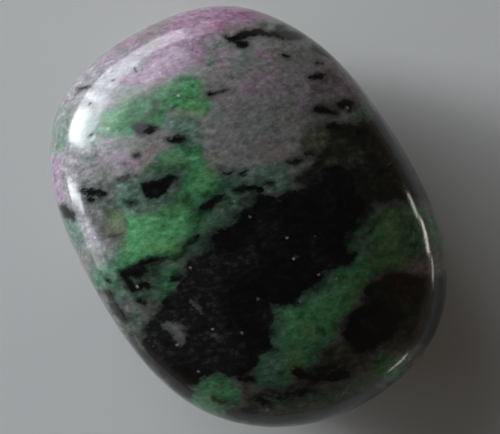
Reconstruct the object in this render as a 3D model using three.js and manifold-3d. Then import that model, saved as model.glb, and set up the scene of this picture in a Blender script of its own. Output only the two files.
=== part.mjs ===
// Ruby in zoisite: one tumbled and polished pebble, lying on its broad side.
//
// Millimetres, +Z up. +X runs along the pebble's length and +Y across it. The
// origin is on the surface it rests on, under the middle of its bounding box.
//
// A tumbled stone is a rough lump whose faces were worn nearly flat and whose
// edges were worn round. So the pebble is written as a list of worn faces, each
// one a plane that touches it: the way the plane faces in plan, how far it leans
// up from upright, and its distance from the heart of the stone. The surface is
// the soft intersection of all those planes:
//
//   1 / radius^n  =  sum over the faces of  max(0, facing . direction / distance)^n
//
// A large n gives sharp edges between the faces, a small n a ball.

import * as THREE from 'three';
import { mergeVertices } from 'three/addons/utils/BufferGeometryUtils.js';
import Module from 'manifold-3d';

// ---- driving dimensions -----------------------------------------------------

const HEART_HEIGHT = 6.6;      // the heart of the stone above the surface it rests on
const EDGE_CRISPNESS = 12;     // n above: how tightly one worn face turns into the next
const GRID_CELLS = 24;         // facets along each edge of the block that the grid starts from
const PROPORTIONS = new THREE.Vector3(16.4, 12.6, 7);  // the stone's half length, width, height
const FOOT_CUT = { x: 40, y: 40, z: 10 };  // what is worn away under the resting plane
const WELD_DISTANCE = 1e-5;    // corners of the grid closer than this are one

// Each worn face is [facing in degrees from +X, lean up in degrees, distance in mm].

// The flanks, all the way round. The stone is a rounded block in plan, squarest
// at the +X end, and drawn out to a blunt corner at each end of its long diagonal.
const FLANKS = [
  [-10, 0, 17.2],
  [10, 0, 17.6],
  [30, 0, 19.0],
  [50, 0, 17.0],
  [70, 0, 14.9],
  [92, 0, 12.8],
  [118, 0, 14.7],
  [142, 0, 18.0],
  [166, 0, 17.1],
  [188, 0, 18.2],
  [208, 0, 20.8],
  [232, 0, 16.4],
  [268, 0, 12.7],
  [290, 0, 14.2],
  [322, 0, 16.2],
];

// The broad crown: a level face ringed by faces that fall away gently.
const CROWN = [
  [0, 90, 7.7],
  [20, 76, 8.9],
  [110, 76, 8.5],
  [200, 76, 8.9],
  [290, 76, 8.5],
  [0, 59, 11.7],
  [50, 59, 11.1],
  [95, 59, 10.5],
  [145, 59, 11.6],
  [195, 59, 11.6],
  [250, 59, 10.5],
  [305, 59, 10.9],
];

// Broader wear where the crown turns down at the -X end.
const SHOULDERS = [
  [140, 40, 15.2],
  [192, 40, 15.4],
  [235, 40, 14.2],
];

// The underside tucks in all round to a nearly level base.
const UNDERSIDE = [
  [0, -90, 6.9],
  [10, -66, 9.9],
  [80, -66, 9.0],
  [140, -66, 9.8],
  [200, -66, 10.0],
  [265, -66, 8.9],
  [325, -66, 9.6],
  [30, -35, 15.6],
  [110, -35, 13.0],
  [185, -35, 15.0],
  [250, -35, 13.2],
  [310, -35, 14.2],
];

// Shallow hollows that the tumbling never reached the bottom of:
// [facing, lean up, breadth in degrees, depth in mm].
const HOLLOWS = [
  [222, 20, 16, 0.22],
  [335, 12, 18, 0.18],
  [75, -18, 20, 0.25],
];

// ---- the rule of the surface ------------------------------------------------

function direction(facing, lean) {
  const inPlan = THREE.MathUtils.degToRad(facing);
  const up = THREE.MathUtils.degToRad(lean);
  return new THREE.Vector3(
    Math.cos(up) * Math.cos(inPlan),
    Math.cos(up) * Math.sin(inPlan),
    Math.sin(up),
  );
}

const wornFaces = [...FLANKS, ...CROWN, ...SHOULDERS, ...UNDERSIDE].map(
  ([facing, lean, distance]) => ({ normal: direction(facing, lean), distance }),
);

const hollows = HOLLOWS.map(([facing, lean, breadth, depth]) => ({
  centre: direction(facing, lean),
  breadth: THREE.MathUtils.degToRad(breadth),
  depth,
}));

// How far the surface lies from the heart of the stone along one direction.
function radiusAlong(ray) {
  let sum = 0;
  for (const { normal, distance } of wornFaces) {
    sum += Math.max(0, normal.dot(ray) / distance) ** EDGE_CRISPNESS;
  }
  let radius = sum ** (-1 / EDGE_CRISPNESS);
  for (const { centre, breadth, depth } of hollows) {
    radius -= depth * Math.exp(-((centre.angleTo(ray) / breadth) ** 2));
  }
  return radius;
}

// ---- the stone --------------------------------------------------------------

const wasm = await Module();
wasm.setup();

function toSolid(geometry) {
  geometry.deleteAttribute('normal');
  geometry.deleteAttribute('uv');
  const merged = mergeVertices(geometry, WELD_DISTANCE);
  return new wasm.Manifold(new wasm.Mesh({
    numProp: 3,
    vertProperties: Float32Array.from(merged.getAttribute('position').array),
    triVerts: Uint32Array.from(merged.getIndex().array),
  }));
}

function toGeometry(solid) {
  const { vertProperties, triVerts } = solid.getMesh();
  const geometry = new THREE.BufferGeometry();
  geometry.setAttribute('position', new THREE.BufferAttribute(vertProperties, 3));
  geometry.setIndex(new THREE.BufferAttribute(triVerts, 1));
  return geometry;
}

// A block's grid, rounded to a ball and drawn out to the stone's proportions, gives
// the directions, and each point is pushed out along its own to the surface. The
// grid has no poles, so the facets are all of about the same size.
function wornLump() {
  const lump = new THREE.BoxGeometry(2, 2, 2, GRID_CELLS, GRID_CELLS, GRID_CELLS);
  const points = lump.getAttribute('position');
  const even = (t) => Math.tan((t * Math.PI) / 4);
  const point = new THREE.Vector3();
  for (let i = 0; i < points.count; i += 1) {
    point.fromBufferAttribute(points, i);
    point.set(even(point.x), even(point.y), even(point.z)).normalize();
    point.multiply(PROPORTIONS).normalize();
    point.multiplyScalar(radiusAlong(point));
    points.setXYZ(i, point.x, point.y, point.z + HEART_HEIGHT);
  }
  return lump;
}

// The foot: the little that bulges below the resting plane is worn away level.
function stoneGeometry() {
  const { x, y, z } = FOOT_CUT;
  const below = new THREE.BoxGeometry(x, y, z).translate(0, 0, -z / 2);
  const geometry = toGeometry(toSolid(wornLump()).subtract(toSolid(below)));
  geometry.computeBoundingBox();
  const middle = geometry.boundingBox.getCenter(new THREE.Vector3());
  geometry.translate(-middle.x, -middle.y, 0);
  geometry.computeVertexNormals();
  return geometry;
}

const polishedStone = new THREE.MeshStandardMaterial({
  color: 0x3c4a3f,
  roughness: 0.14,
  metalness: 0,
});

const stone = new THREE.Mesh(stoneGeometry(), polishedStone);
stone.name = 'stone';

const specimen = new THREE.Group();
specimen.name = 'ruby_in_zoisite';
specimen.add(stone);

export default specimen;
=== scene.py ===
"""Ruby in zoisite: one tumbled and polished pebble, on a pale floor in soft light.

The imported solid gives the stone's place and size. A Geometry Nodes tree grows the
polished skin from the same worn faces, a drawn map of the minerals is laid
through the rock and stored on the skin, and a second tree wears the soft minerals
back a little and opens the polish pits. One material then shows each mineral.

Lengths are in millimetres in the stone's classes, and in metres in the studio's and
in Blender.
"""

import logging
import math
from collections.abc import Iterable, Mapping
from dataclasses import dataclass, field
from enum import Enum

import bpy
import numpy as np
from mathutils import Matrix, Vector, noise


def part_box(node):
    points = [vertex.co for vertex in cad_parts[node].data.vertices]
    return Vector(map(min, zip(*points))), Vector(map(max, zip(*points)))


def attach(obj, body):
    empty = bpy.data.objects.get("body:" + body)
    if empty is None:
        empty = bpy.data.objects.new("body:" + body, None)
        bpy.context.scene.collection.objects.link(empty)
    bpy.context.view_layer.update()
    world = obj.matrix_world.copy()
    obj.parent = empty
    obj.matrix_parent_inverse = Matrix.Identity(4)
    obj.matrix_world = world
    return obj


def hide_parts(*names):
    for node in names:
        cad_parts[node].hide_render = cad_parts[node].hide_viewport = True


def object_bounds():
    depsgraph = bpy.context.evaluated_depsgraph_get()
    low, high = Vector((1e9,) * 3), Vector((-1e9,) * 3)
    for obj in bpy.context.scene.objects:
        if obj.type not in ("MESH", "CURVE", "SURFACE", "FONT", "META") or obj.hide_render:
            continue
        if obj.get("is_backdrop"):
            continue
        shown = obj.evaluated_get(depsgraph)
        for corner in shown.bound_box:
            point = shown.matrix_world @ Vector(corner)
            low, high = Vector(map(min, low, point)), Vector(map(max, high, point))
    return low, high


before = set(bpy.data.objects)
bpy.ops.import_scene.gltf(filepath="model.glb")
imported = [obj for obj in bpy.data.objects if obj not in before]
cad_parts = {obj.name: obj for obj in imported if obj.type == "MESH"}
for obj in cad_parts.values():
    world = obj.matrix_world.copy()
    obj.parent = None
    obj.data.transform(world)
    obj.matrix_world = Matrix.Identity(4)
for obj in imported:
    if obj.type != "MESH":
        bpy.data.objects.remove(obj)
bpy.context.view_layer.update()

log = logging.getLogger("ruby_in_zoisite")

NODE = "stone"
BODY = "root"
MM = 0.001

# The mineral map is drawn looking down on the stone, turned to this bearing from +X:
# its u axis runs along the bearing, and v is a quarter turn further on.
MAP_BEARING = math.radians(59.0)
# The rock's grain: the minerals are drawn out along this bearing on the map.
GRAIN_BEARING = math.radians(16.0)
# Each mineral's noise is moved on by this from the last one's, so that no two agree.
PATTERN_STEP = 7.0
# A Mix node's colour sockets, by number, because its other sockets have the same names.
MIX_FACTOR, MIX_FIRST, MIX_SECOND, MIX_RESULT = 0, 6, 7, 2

# Where a pattern, a depth or a height turns from nothing to full.
Band = tuple[float, float]


class Mineral(Enum):
    """A field of the mineral map, by the name of the attribute that holds it."""

    AMPHIBOLE = "amphibole"
    FLECK = "amphibole_fleck"
    VEIL = "veil"
    ZOISITE = "zoisite"
    BRIGHT = "bright_zoisite"
    LIME = "lime_zoisite"
    DEEP = "deep_zoisite"
    SAGE = "sage"
    # dark olive, and painted shade under the lower right rim
    DUSK_AND_RIM_SHADE = "dusk_and_rim_shade"
    OLIVE = "olive"
    RUBY = "ruby"
    BLUSH = "ruby_blush"
    RUST = "rust"
    # a paler matrix, and painted sheen at the left and along the top-left rim
    PALE_AND_SHEEN = "pale_matrix_and_sheen"
    # painted glints where pits catch the light
    GLINT = "painted_glint"
    # plucked grains, darkened with painted shade
    PLUCKED_AND_SHADE = "plucked"

    @property
    def shift(self) -> float:
        """How far this mineral's noise is moved."""
        return PATTERN_STEP * list(Mineral).index(self)


def direction(around: float, up: float) -> Vector:
    """The unit vector at an angle round +Z from +X and an angle up, in radians."""
    return Vector((math.cos(up) * math.cos(around), math.cos(up) * math.sin(around), math.sin(up)))


# ---- node graphs --------------------------------------------------------------


class Graph:
    """A node tree that is written in Python: nodes from one method, maths from operators."""

    def __init__(self, tree: bpy.types.NodeTree) -> None:
        """Takes over a shader or geometry node tree and clears it."""
        self.tree = tree
        tree.nodes.clear()

    def node(
        self,
        kind: str,
        settings: Mapping[str, object] | None = None,
        inputs: Mapping[str | int, object] | None = None,
        output: str | int = 0,
    ) -> "Value":
        """Adds any node.

        Args:
            kind: the node's type name.
            settings: properties set before anything else.
            inputs: a value or a link for each socket, by name or by number.
            output: the socket to return, by name or by number.

        Returns:
            The node's output, ready for operators; it is empty on a node that has none.
        """
        made = self.tree.nodes.new(kind)
        for name, setting in (settings or {}).items():
            setattr(made, name, setting)
        for key, given in (inputs or {}).items():
            self._feed(made.inputs[key], given)
        return Value(self, made.outputs[output] if len(made.outputs) else None)

    def _feed(self, socket: bpy.types.NodeSocket, given: object) -> None:
        """Links a Value to a socket, or sets the socket's own value.

        Args:
            socket: the input to fill.
            given: a Value, a number, a vector or a colour.
        """
        if isinstance(given, Value):
            self.tree.links.new(given.socket, socket)
        elif socket.type == "RGBA" and len(given) == 3:
            socket.default_value = (*given, 1.0)
        else:
            socket.default_value = given

    def maths(self, operation: str, *operands: object) -> "Value":
        """A Math node on up to three values or numbers."""
        return self.node("ShaderNodeMath", {"operation": operation}, dict(enumerate(operands)))

    def vector(self, operation: str, *operands: object, output: str | int = 0) -> "Value":
        """A Vector Math node on up to three vectors."""
        sockets = dict(enumerate(operands))
        return self.node("ShaderNodeVectorMath", {"operation": operation}, sockets, output)

    def blend(self, share: object, first: object, second: object) -> "Value":
        """A colour that goes from first to second as share goes from 0 to 1."""
        sockets = {MIX_FACTOR: share, MIX_FIRST: first, MIX_SECOND: second}
        return self.node("ShaderNodeMix", {"data_type": "RGBA"}, sockets, MIX_RESULT)

    def scaled(self, given: "Value", gain: object) -> "Value":
        """A colour or a vector times a number at each place."""
        sockets = {0: given, "Scale": gain}
        return self.node("ShaderNodeVectorMath", {"operation": "SCALE"}, sockets)


@dataclass(frozen=True)
class Value:
    """An output socket on which Python's operators add Math nodes."""

    graph: Graph
    socket: bpy.types.NodeSocket | None

    def __add__(self, other: object) -> "Value":
        """self + other."""
        return self.graph.maths("ADD", self, other)

    def __radd__(self, other: object) -> "Value":
        """other + self."""
        return self.graph.maths("ADD", other, self)

    def __sub__(self, other: object) -> "Value":
        """self - other."""
        return self.graph.maths("SUBTRACT", self, other)

    def __rsub__(self, other: object) -> "Value":
        """other - self."""
        return self.graph.maths("SUBTRACT", other, self)

    def __mul__(self, other: object) -> "Value":
        """self * other."""
        return self.graph.maths("MULTIPLY", self, other)

    def __rmul__(self, other: object) -> "Value":
        """other * self."""
        return self.graph.maths("MULTIPLY", other, self)

    def __truediv__(self, other: object) -> "Value":
        """self / other."""
        return self.graph.maths("DIVIDE", self, other)

    def __rtruediv__(self, other: object) -> "Value":
        """other / self."""
        return self.graph.maths("DIVIDE", other, self)

    def __pow__(self, other: object) -> "Value":
        """self ** other."""
        return self.graph.maths("POWER", self, other)

    def __rpow__(self, other: object) -> "Value":
        """other ** self."""
        return self.graph.maths("POWER", other, self)

    def __neg__(self) -> "Value":
        """Minus self."""
        return self.graph.maths("MULTIPLY", self, -1.0)

    def at_least(self, floor: object) -> "Value":
        """The larger of self and floor."""
        return self.graph.maths("MAXIMUM", self, floor)

    def at_most(self, ceiling: object) -> "Value":
        """The smaller of self and ceiling."""
        return self.graph.maths("MINIMUM", self, ceiling)

    def swing(self, reach: object) -> "Value":
        """A pattern that lies round 0.5, as a shift round 0 that is reach wide."""
        return (self - 0.5) * reach

    def sibling(self, output: str) -> "Value":
        """Another output of the same node."""
        return Value(self.graph, self.socket.node.outputs[output])

    def ramp(self, low: float, high: float) -> "Value":
        """0 where self is low or less, 1 where it is high or more, smooth between."""
        sockets = {0: self, 1: low, 2: high, 3: 0.0, 4: 1.0}
        return self.graph.node("ShaderNodeMapRange", {"interpolation_type": "SMOOTHSTEP"}, sockets)


class GeometryGraph(Graph):
    """A Geometry Nodes group with named inputs, put on an object as a modifier."""

    def __init__(self, name: str) -> None:
        """Makes an empty group.

        Args:
            name: the group's name.
        """
        super().__init__(bpy.data.node_groups.new(name, "GeometryNodeTree"))
        self.identifiers: dict[str, str] = {}
        self.settings: dict[str, object] = {}
        self._add_socket("Geometry", "INPUT", "NodeSocketGeometry")
        self._add_socket("Geometry", "OUTPUT", "NodeSocketGeometry")
        self.source = self.node("NodeGroupInput").socket.node

    def _add_socket(self, name: str, way: str, kind: str) -> str:
        """Adds one socket to the group's face and returns its identifier."""
        made = self.tree.interface.new_socket(name=name, in_out=way, socket_type=kind)
        return made.identifier

    def named_input(self, name: str, kind: str, setting: object) -> Value:
        """Adds an input that the modifier sets.

        Args:
            name: the input's name.
            kind: the socket's type name.
            setting: what the modifier sets it to.

        Returns:
            The input, for use in the tree.
        """
        self.identifiers[name] = self._add_socket(name, "INPUT", kind)
        self.settings[name] = setting
        return Value(self, self.source.outputs[name])

    def geometry_in(self) -> Value:
        """The geometry that the modifier is given."""
        return Value(self, self.source.outputs["Geometry"])

    def finish_with(self, geometry: Value, material: Value) -> None:
        """Ends the tree: faces smooth, instances made real and the material set.

        Args:
            geometry: what the tree has made.
            material: the finish that all of it gets.
        """
        smooth = self.node("GeometryNodeSetShadeSmooth", inputs={"Geometry": geometry})
        real = self.node("GeometryNodeRealizeInstances", inputs={"Geometry": smooth})
        dressed = self.node(
            "GeometryNodeSetMaterial", inputs={"Geometry": real, "Material": material}
        )
        self.node("NodeGroupOutput", inputs={"Geometry": dressed})

    def run_on(self, piece: bpy.types.Object) -> None:
        """Runs the tree on an object and leaves the result as its plain mesh.

        Args:
            piece: the object to change; it has no modifier afterwards.
        """
        modifier = piece.modifiers.new(self.tree.name, "NODES")
        modifier.node_group = self.tree
        for name, identifier in self.identifiers.items():
            modifier[identifier] = self.settings[name]
        bpy.context.view_layer.update()
        graph = bpy.context.evaluated_depsgraph_get()
        mesh = bpy.data.meshes.new_from_object(piece.evaluated_get(graph), depsgraph=graph)
        piece.modifiers.clear()
        before = piece.data
        piece.data = mesh
        mesh.name = piece.name
        bpy.data.meshes.remove(before)


# ---- the stone's shape --------------------------------------------------------


@dataclass(frozen=True)
class Facing:
    """A way out from the stone's heart, in degrees round from +X and up."""

    facing: float
    lean: float

    def way(self) -> Vector:
        """The unit vector of the way."""
        return direction(math.radians(self.facing), math.radians(self.lean))


@dataclass(frozen=True)
class WornFace(Facing):
    """A plane that the stone was worn back to, this many mm from its heart."""

    distance: float


@dataclass(frozen=True)
class Hollow(Facing):
    """A shallow dip that the tumbling never reached, its breadth in degrees, its depth in mm."""

    breadth: float
    depth: float


def worn(*rows: tuple[float, float, float]) -> tuple[WornFace, ...]:
    """A row of worn faces from (facing, lean, distance) triples."""
    return tuple(WornFace(*row) for row in rows)


@dataclass
class StoneShape:
    """The soft intersection of the worn faces, as one fine closed mesh."""

    heart_height: float = 6.6
    edge_crispness: float = 12.0
    grid_cells: int = 124
    proportions: tuple[float, float, float] = (16.4, 12.6, 7.0)
    flanks: tuple[WornFace, ...] = worn(
        (-10, 0, 17.2), (10, 0, 17.6), (30, 0, 19.0), (50, 0, 17.0), (70, 0, 14.9),
        (92, 0, 12.8), (118, 0, 14.7), (142, 0, 18.0), (166, 0, 17.1), (188, 0, 18.2),
        (208, 0, 20.8), (232, 0, 16.4), (268, 0, 12.7), (290, 0, 14.2), (322, 0, 16.2),
    )
    crown: tuple[WornFace, ...] = worn(
        (0, 90, 7.7), (20, 76, 8.9), (110, 76, 8.5), (200, 76, 8.9), (290, 76, 8.5),
        (0, 59, 11.7), (50, 59, 11.1), (95, 59, 10.5), (145, 59, 11.6), (195, 59, 11.6),
        (250, 59, 10.5), (305, 59, 10.9),
    )
    shoulders: tuple[WornFace, ...] = worn((140, 40, 15.2), (192, 40, 15.4), (235, 40, 14.2))
    underside: tuple[WornFace, ...] = worn(
        (0, -90, 6.9), (10, -66, 9.9), (80, -66, 9.0), (140, -66, 9.8), (200, -66, 10.0),
        (265, -66, 8.9), (325, -66, 9.6), (30, -35, 15.6), (110, -35, 13.0),
        (185, -35, 15.0), (250, -35, 13.2), (310, -35, 14.2),
    )
    hollows: tuple[Hollow, ...] = (
        Hollow(222, 20, 16, 0.22),
        Hollow(335, 12, 18, 0.18),
        Hollow(75, -18, 20, 0.25),
    )

    def faces(self) -> tuple[WornFace, ...]:
        """Every worn face of the stone."""
        return self.flanks + self.crown + self.shoulders + self.underside

    def build(self, material: bpy.types.Material) -> bpy.types.Object:
        """Makes the stone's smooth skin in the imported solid's place.

        Args:
            material: the stone's finish.

        Returns:
            The stone, its place in its mesh, with no modifier.
        """
        mesh = bpy.data.meshes.new("stone_skin")
        piece = bpy.data.objects.new("stone_skin", mesh)
        bpy.context.scene.collection.objects.link(piece)
        self._tree(material).run_on(piece)
        self._fit_to_solid(piece)
        return piece

    def _tree(self, material: bpy.types.Material) -> GeometryGraph:
        """The node tree that pushes a grid out to the worn faces.

        Args:
            material: the stone's finish.

        Returns:
            The tree, ready to run.
        """
        graph = GeometryGraph("worn_stone")
        cells = graph.named_input("Cells", "NodeSocketInt", self.grid_cells)
        crispness = graph.named_input("Edge crispness", "NodeSocketFloat", self.edge_crispness)
        heart = graph.named_input("Heart height", "NodeSocketFloat", self.heart_height)
        proportions = graph.named_input("Proportions", "NodeSocketVector", self.proportions)
        finish = graph.named_input("Material", "NodeSocketMaterial", material)
        across = cells + 1
        cube = graph.node(
            "GeometryNodeMeshCube",
            inputs={
                "Size": (2.0, 2.0, 2.0),
                "Vertices X": across,
                "Vertices Y": across,
                "Vertices Z": across,
            },
            output="Mesh",
        )
        ray = self._ray(graph, proportions)
        reach = self._reach(graph, ray, crispness)
        pushed = graph.scaled(ray, reach)
        split = graph.node("ShaderNodeSeparateXYZ", inputs={0: pushed})
        level = (split.sibling("Z") + heart).at_least(0.0)
        place = graph.node(
            "ShaderNodeCombineXYZ", inputs={"X": split, "Y": split.sibling("Y"), "Z": level}
        )
        metres = graph.scaled(place, MM)
        skin = graph.node(
            "GeometryNodeSetPosition", inputs={"Geometry": cube, "Position": metres}
        )
        graph.finish_with(skin, finish)
        return graph

    def _ray(self, graph: GeometryGraph, proportions: Value) -> Value:
        """Even directions from the heart, closer together where the stone is broad.

        Args:
            graph: the tree to write in.
            proportions: the half sizes of the ball that the grid is drawn on.

        Returns:
            The unit direction of each grid point.
        """
        at = graph.node("GeometryNodeInputPosition")
        quarter = graph.scaled(at, math.pi / 4)
        ball = graph.vector("NORMALIZE", graph.vector("TANGENT", quarter))
        return graph.vector("NORMALIZE", graph.vector("MULTIPLY", ball, proportions))

    def _reach(self, graph: GeometryGraph, ray: Value, crispness: Value) -> Value:
        """How far the surface lies from the heart along a ray.

        Args:
            graph: the tree to write in.
            ray: the unit direction.
            crispness: how tightly one worn face turns into the next.

        Returns:
            The distance in millimetres.
        """
        total: Value | float = 0.0
        for face in self.faces():
            towards = graph.vector(
                "DOT_PRODUCT", ray, tuple(face.way() / face.distance), output="Value"
            )
            total = total + towards.at_least(0.0) ** crispness
        reach = total ** (-1.0 / crispness)
        for hollow in self.hollows:
            cosine = graph.vector("DOT_PRODUCT", ray, tuple(hollow.way()), output="Value")
            angle = graph.maths("ARCCOSINE", cosine.at_most(1.0))
            share = angle / math.radians(hollow.breadth)
            dip = graph.maths("EXPONENT", -(share * share))
            reach = reach - dip * hollow.depth
        return reach

    def _fit_to_solid(self, piece: bpy.types.Object) -> None:
        """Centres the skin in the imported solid's box and keeps it inside.

        Args:
            piece: the stone's skin.
        """
        low, high = (np.array(corner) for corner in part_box(NODE))
        points = read_points(piece.data)
        middle = (points.max(0) + points.min(0)) / 2
        points[:, :2] += ((low + high) / 2 - middle)[:2]
        size = np.ptp(points, axis=0)
        shrink = np.minimum(1.0, (high - low) / size)
        centre = (low + high) / 2
        points[:, :2] = centre[:2] + (points[:, :2] - centre[:2]) * shrink[:2]
        points[:, 2] = low[2] + (points[:, 2] - low[2]) * shrink[2]
        write_points(piece.data, points)


def read_points(mesh: bpy.types.Mesh) -> np.ndarray:
    """A mesh's points.

    Args:
        mesh: the mesh to read.

    Returns:
        One row for each point, in metres.
    """
    found = np.empty(len(mesh.vertices) * 3, np.float32)
    mesh.vertices.foreach_get("co", found)
    return found.reshape(-1, 3).astype(np.float64)


def write_points(mesh: bpy.types.Mesh, points: np.ndarray) -> None:
    """Moves a mesh's points to the rows of an array, in metres."""
    mesh.vertices.foreach_set("co", points.astype(np.float32).ravel())
    mesh.update()


# ---- the mineral map ----------------------------------------------------------


@dataclass(frozen=True)
class Patch:
    """A body of one mineral on the map, inside a closed outline of (u, v) points in mm."""

    outline: tuple[tuple[float, float], ...]

    def depth(self, at: np.ndarray) -> np.ndarray:
        """How far each place is inside the patch.

        Args:
            at: rows of (u, v) in mm.

        Returns:
            Millimetres to the edge, positive inside and negative outside.
        """
        corners = np.array(self.outline)
        nexts = np.roll(corners, -1, axis=0)
        nearest = np.full(len(at), np.inf)
        inside = np.zeros(len(at), bool)
        for start, end in zip(corners, nexts):
            nearest = np.minimum(nearest, distance_to_segment(at, start, end)[0])
            crosses = (start[1] > at[:, 1]) != (end[1] > at[:, 1])
            rise = end[1] - start[1]
            if rise:
                where = start[0] + (at[:, 1] - start[1]) / rise * (end[0] - start[0])
                inside ^= crosses & (at[:, 0] < where)
        return np.where(inside, nearest, -nearest)


@dataclass(frozen=True)
class Streak:
    """A drawn-out fleck of one mineral along (u, v, half width) points in mm.

    Where the half width is below 0, only a faint trace is left.
    """

    route: tuple[tuple[float, float, float], ...]

    def depth(self, at: np.ndarray) -> np.ndarray:
        """How far each place is inside the streak.

        Args:
            at: rows of (u, v) in mm.

        Returns:
            Millimetres to the edge, positive inside and negative outside.
        """
        deepest = np.full(len(at), -np.inf)
        steps = list(zip(self.route, self.route[1:])) or [(self.route[0], self.route[0])]
        for first, last in steps:
            away, along = distance_to_segment(at, np.array(first[:2]), np.array(last[:2]))
            half_width = first[2] + (last[2] - first[2]) * along
            deepest = np.maximum(deepest, half_width - away)
        return deepest


Shape = Patch | Streak


def distance_to_segment(
    at: np.ndarray, start: np.ndarray, end: np.ndarray
) -> tuple[np.ndarray, np.ndarray]:
    """Measures each place against a line segment.

    Args:
        at: rows of (u, v) in mm.
        start: the segment's first end.
        end: its other end.

    Returns:
        The distance to the segment, and how far along it the nearest point is, from 0 to 1.
    """
    run = end - start
    length = float(run @ run) or 1.0
    along = np.clip((at - start) @ run / length, 0.0, 1.0)
    away = at - (start + along[:, None] * run)
    return np.hypot(away[:, 0], away[:, 1]), along


def patch(*outline: tuple[float, float]) -> Patch:
    """A patch from its outline's points."""
    return Patch(outline)


def streak(*route: tuple[float, float, float]) -> Streak:
    """A streak from its route's points."""
    return Streak(route)


# A place starts this far outside every body, in mm.
FAR = 20.0
# A trace of a mineral is held at this depth, which gives less than half cover.
TRACE = -0.1
# Depths are stored up to this many mm on each side of the edge.
STORED_DEPTH = 3.0
# The half width of a painted glint in mm.
GLINT_RADIUS = 0.12


@dataclass(frozen=True)
class Layer:
    """All bodies of one mineral in one layer of the rock, the gaps in them, and traces."""

    bodies: tuple[Shape, ...]
    gaps: tuple[Shape, ...]
    traces: tuple[Shape, ...]

    def depth(self, at: np.ndarray) -> np.ndarray:
        """How far each place is inside the mineral.

        Args:
            at: rows of (u, v) in mm.

        Returns:
            Millimetres to its edge, positive inside and negative outside.
        """
        found = np.full(len(at), -FAR)
        for body in self.bodies:
            found = np.maximum(found, body.depth(at))
        for trace in self.traces:
            found = np.maximum(found, np.minimum(trace.depth(at), TRACE))
        for gap in self.gaps:
            found = np.minimum(found, -gap.depth(at))
        return found


def layer(
    *bodies: Shape, gaps: tuple[Shape, ...] = (), traces: tuple[Shape, ...] = ()
) -> Layer:
    """A layer from its bodies, its gaps and its traces."""
    return Layer(bodies, gaps, traces)


AMPHIBOLE = layer(
    # the great mass across the middle
    patch(
        (-7.9, -9.0), (-7.6, -8.0), (-6.8, -7.1), (-6.3, -6.0), (-5.3, -5.4), (-4.9, -4.4),
        (-4.5, -3.3), (-3.8, -2.9), (-3.0, -2.2), (-2.9, -1.2), (-2.1, -0.6), (-1.1, -0.1),
        (-0.4, 0.6), (0.2, 1.4), (0.9, 1.9), (2.2, 1.6), (3.1, 2.1), (4.2, 2.5), (4.9, 3.2),
        (5.7, 3.9), (7.0, 4.0), (7.9, 3.2), (8.3, 2.0), (9.0, 1.0), (8.6, 0.2), (7.9, -0.8),
        (7.4, -1.2), (7.4, -2.2), (7.1, -3.1), (6.3, -3.7), (5.5, -4.2), (5.7, -4.9), (4.8, -5.2),
        (4.0, -5.6), (3.8, -6.4), (1.8, -6.6), (1.75, -8.0), (1.75, -9.8), (0.9, -10.1),
        (0.5, -11.2), (-0.3, -11.6), (-1.2, -11.7), (-2.4, -11.5), (-3.2, -11.8), (-3.7, -12.3),
        (-4.9, -12.6), (-5.4, -13.2), (-6.2, -12.2), (-6.8, -11.2), (-7.5, -10.2),
    ),
    # the dark end at the lower right
    patch(
        (7.1, -8.8), (7.0, -8.0), (7.8, -7.1), (8.6, -6.7), (9.3, -6.4), (11.4, -6.4), (11.9, -7.4),
        (10.9, -8.1), (10.6, -9.0), (9.7, -9.3), (9.2, -10.0), (8.1, -9.9), (7.6, -9.2),
    ),
    patch((12.1, -8.9), (12.8, -7.9), (13.1, -6.6), (14.4, -6.2), (14.6, -8.0), (13.2, -9.3)),
    streak((8.8, -5.8, 0.2), (9.0, -5.3, 0.2)),
    streak((3.7, -11.6, 0.2), (5.0, -12.0, 0.35), (6.2, -11.8, 0.45), (7.3, -11.6, 0.3)),
    streak((1.2, -12.9, 0.1), (2.2, -13.1, 0.16), (3.4, -13.1, 0.14), (5.0, -12.9, 0.07)),
    streak((0.8, -13.4, 0.2), (2.4, -13.5, 0.12), (4.2, -13.25, 0.08)),
    streak((0.9, -13.7, 0.35), (1.5, -14.0, 0.3)),
    streak((-1.2, -14.7, 0.4), (0.2, -14.6, 0.5), (0.8, -15.4, 0.4)),
    # black along the bottom rim; its right end is painted shade where the rim turns under
    streak((1.6, -15.1, 0.3), (4.0, -15.1, 0.3), (6.0, -14.9, 0.4), (8.0, -14.0, 0.45),
           (9.3, -13.3, 0.3)),
    streak((-0.9, -11.9, 0.08), (-0.2, -12.1, 0.2), (0.3, -12.1, 0.1)),
    streak((5.0, -11.3, 0.1), (6.4, -11.1, 0.16)),
    gaps=(
        streak((-6.1, -8.0, 0.3), (-5.3, -8.4, 0.6), (-4.9, -9.2, 0.3)),
        streak((-2.9, -8.7, 0.0), (-2.5, -8.8, 0.12), (-2.2, -8.8, 0.1)),
        streak((-4.3, -6.1, 0.02), (-3.8, -6.7, 0.1), (-3.5, -7.2, 0.0)),
        streak((3.1, -3.4, 0.0), (3.5, -2.9, 0.05)),
    ),
)
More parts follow.
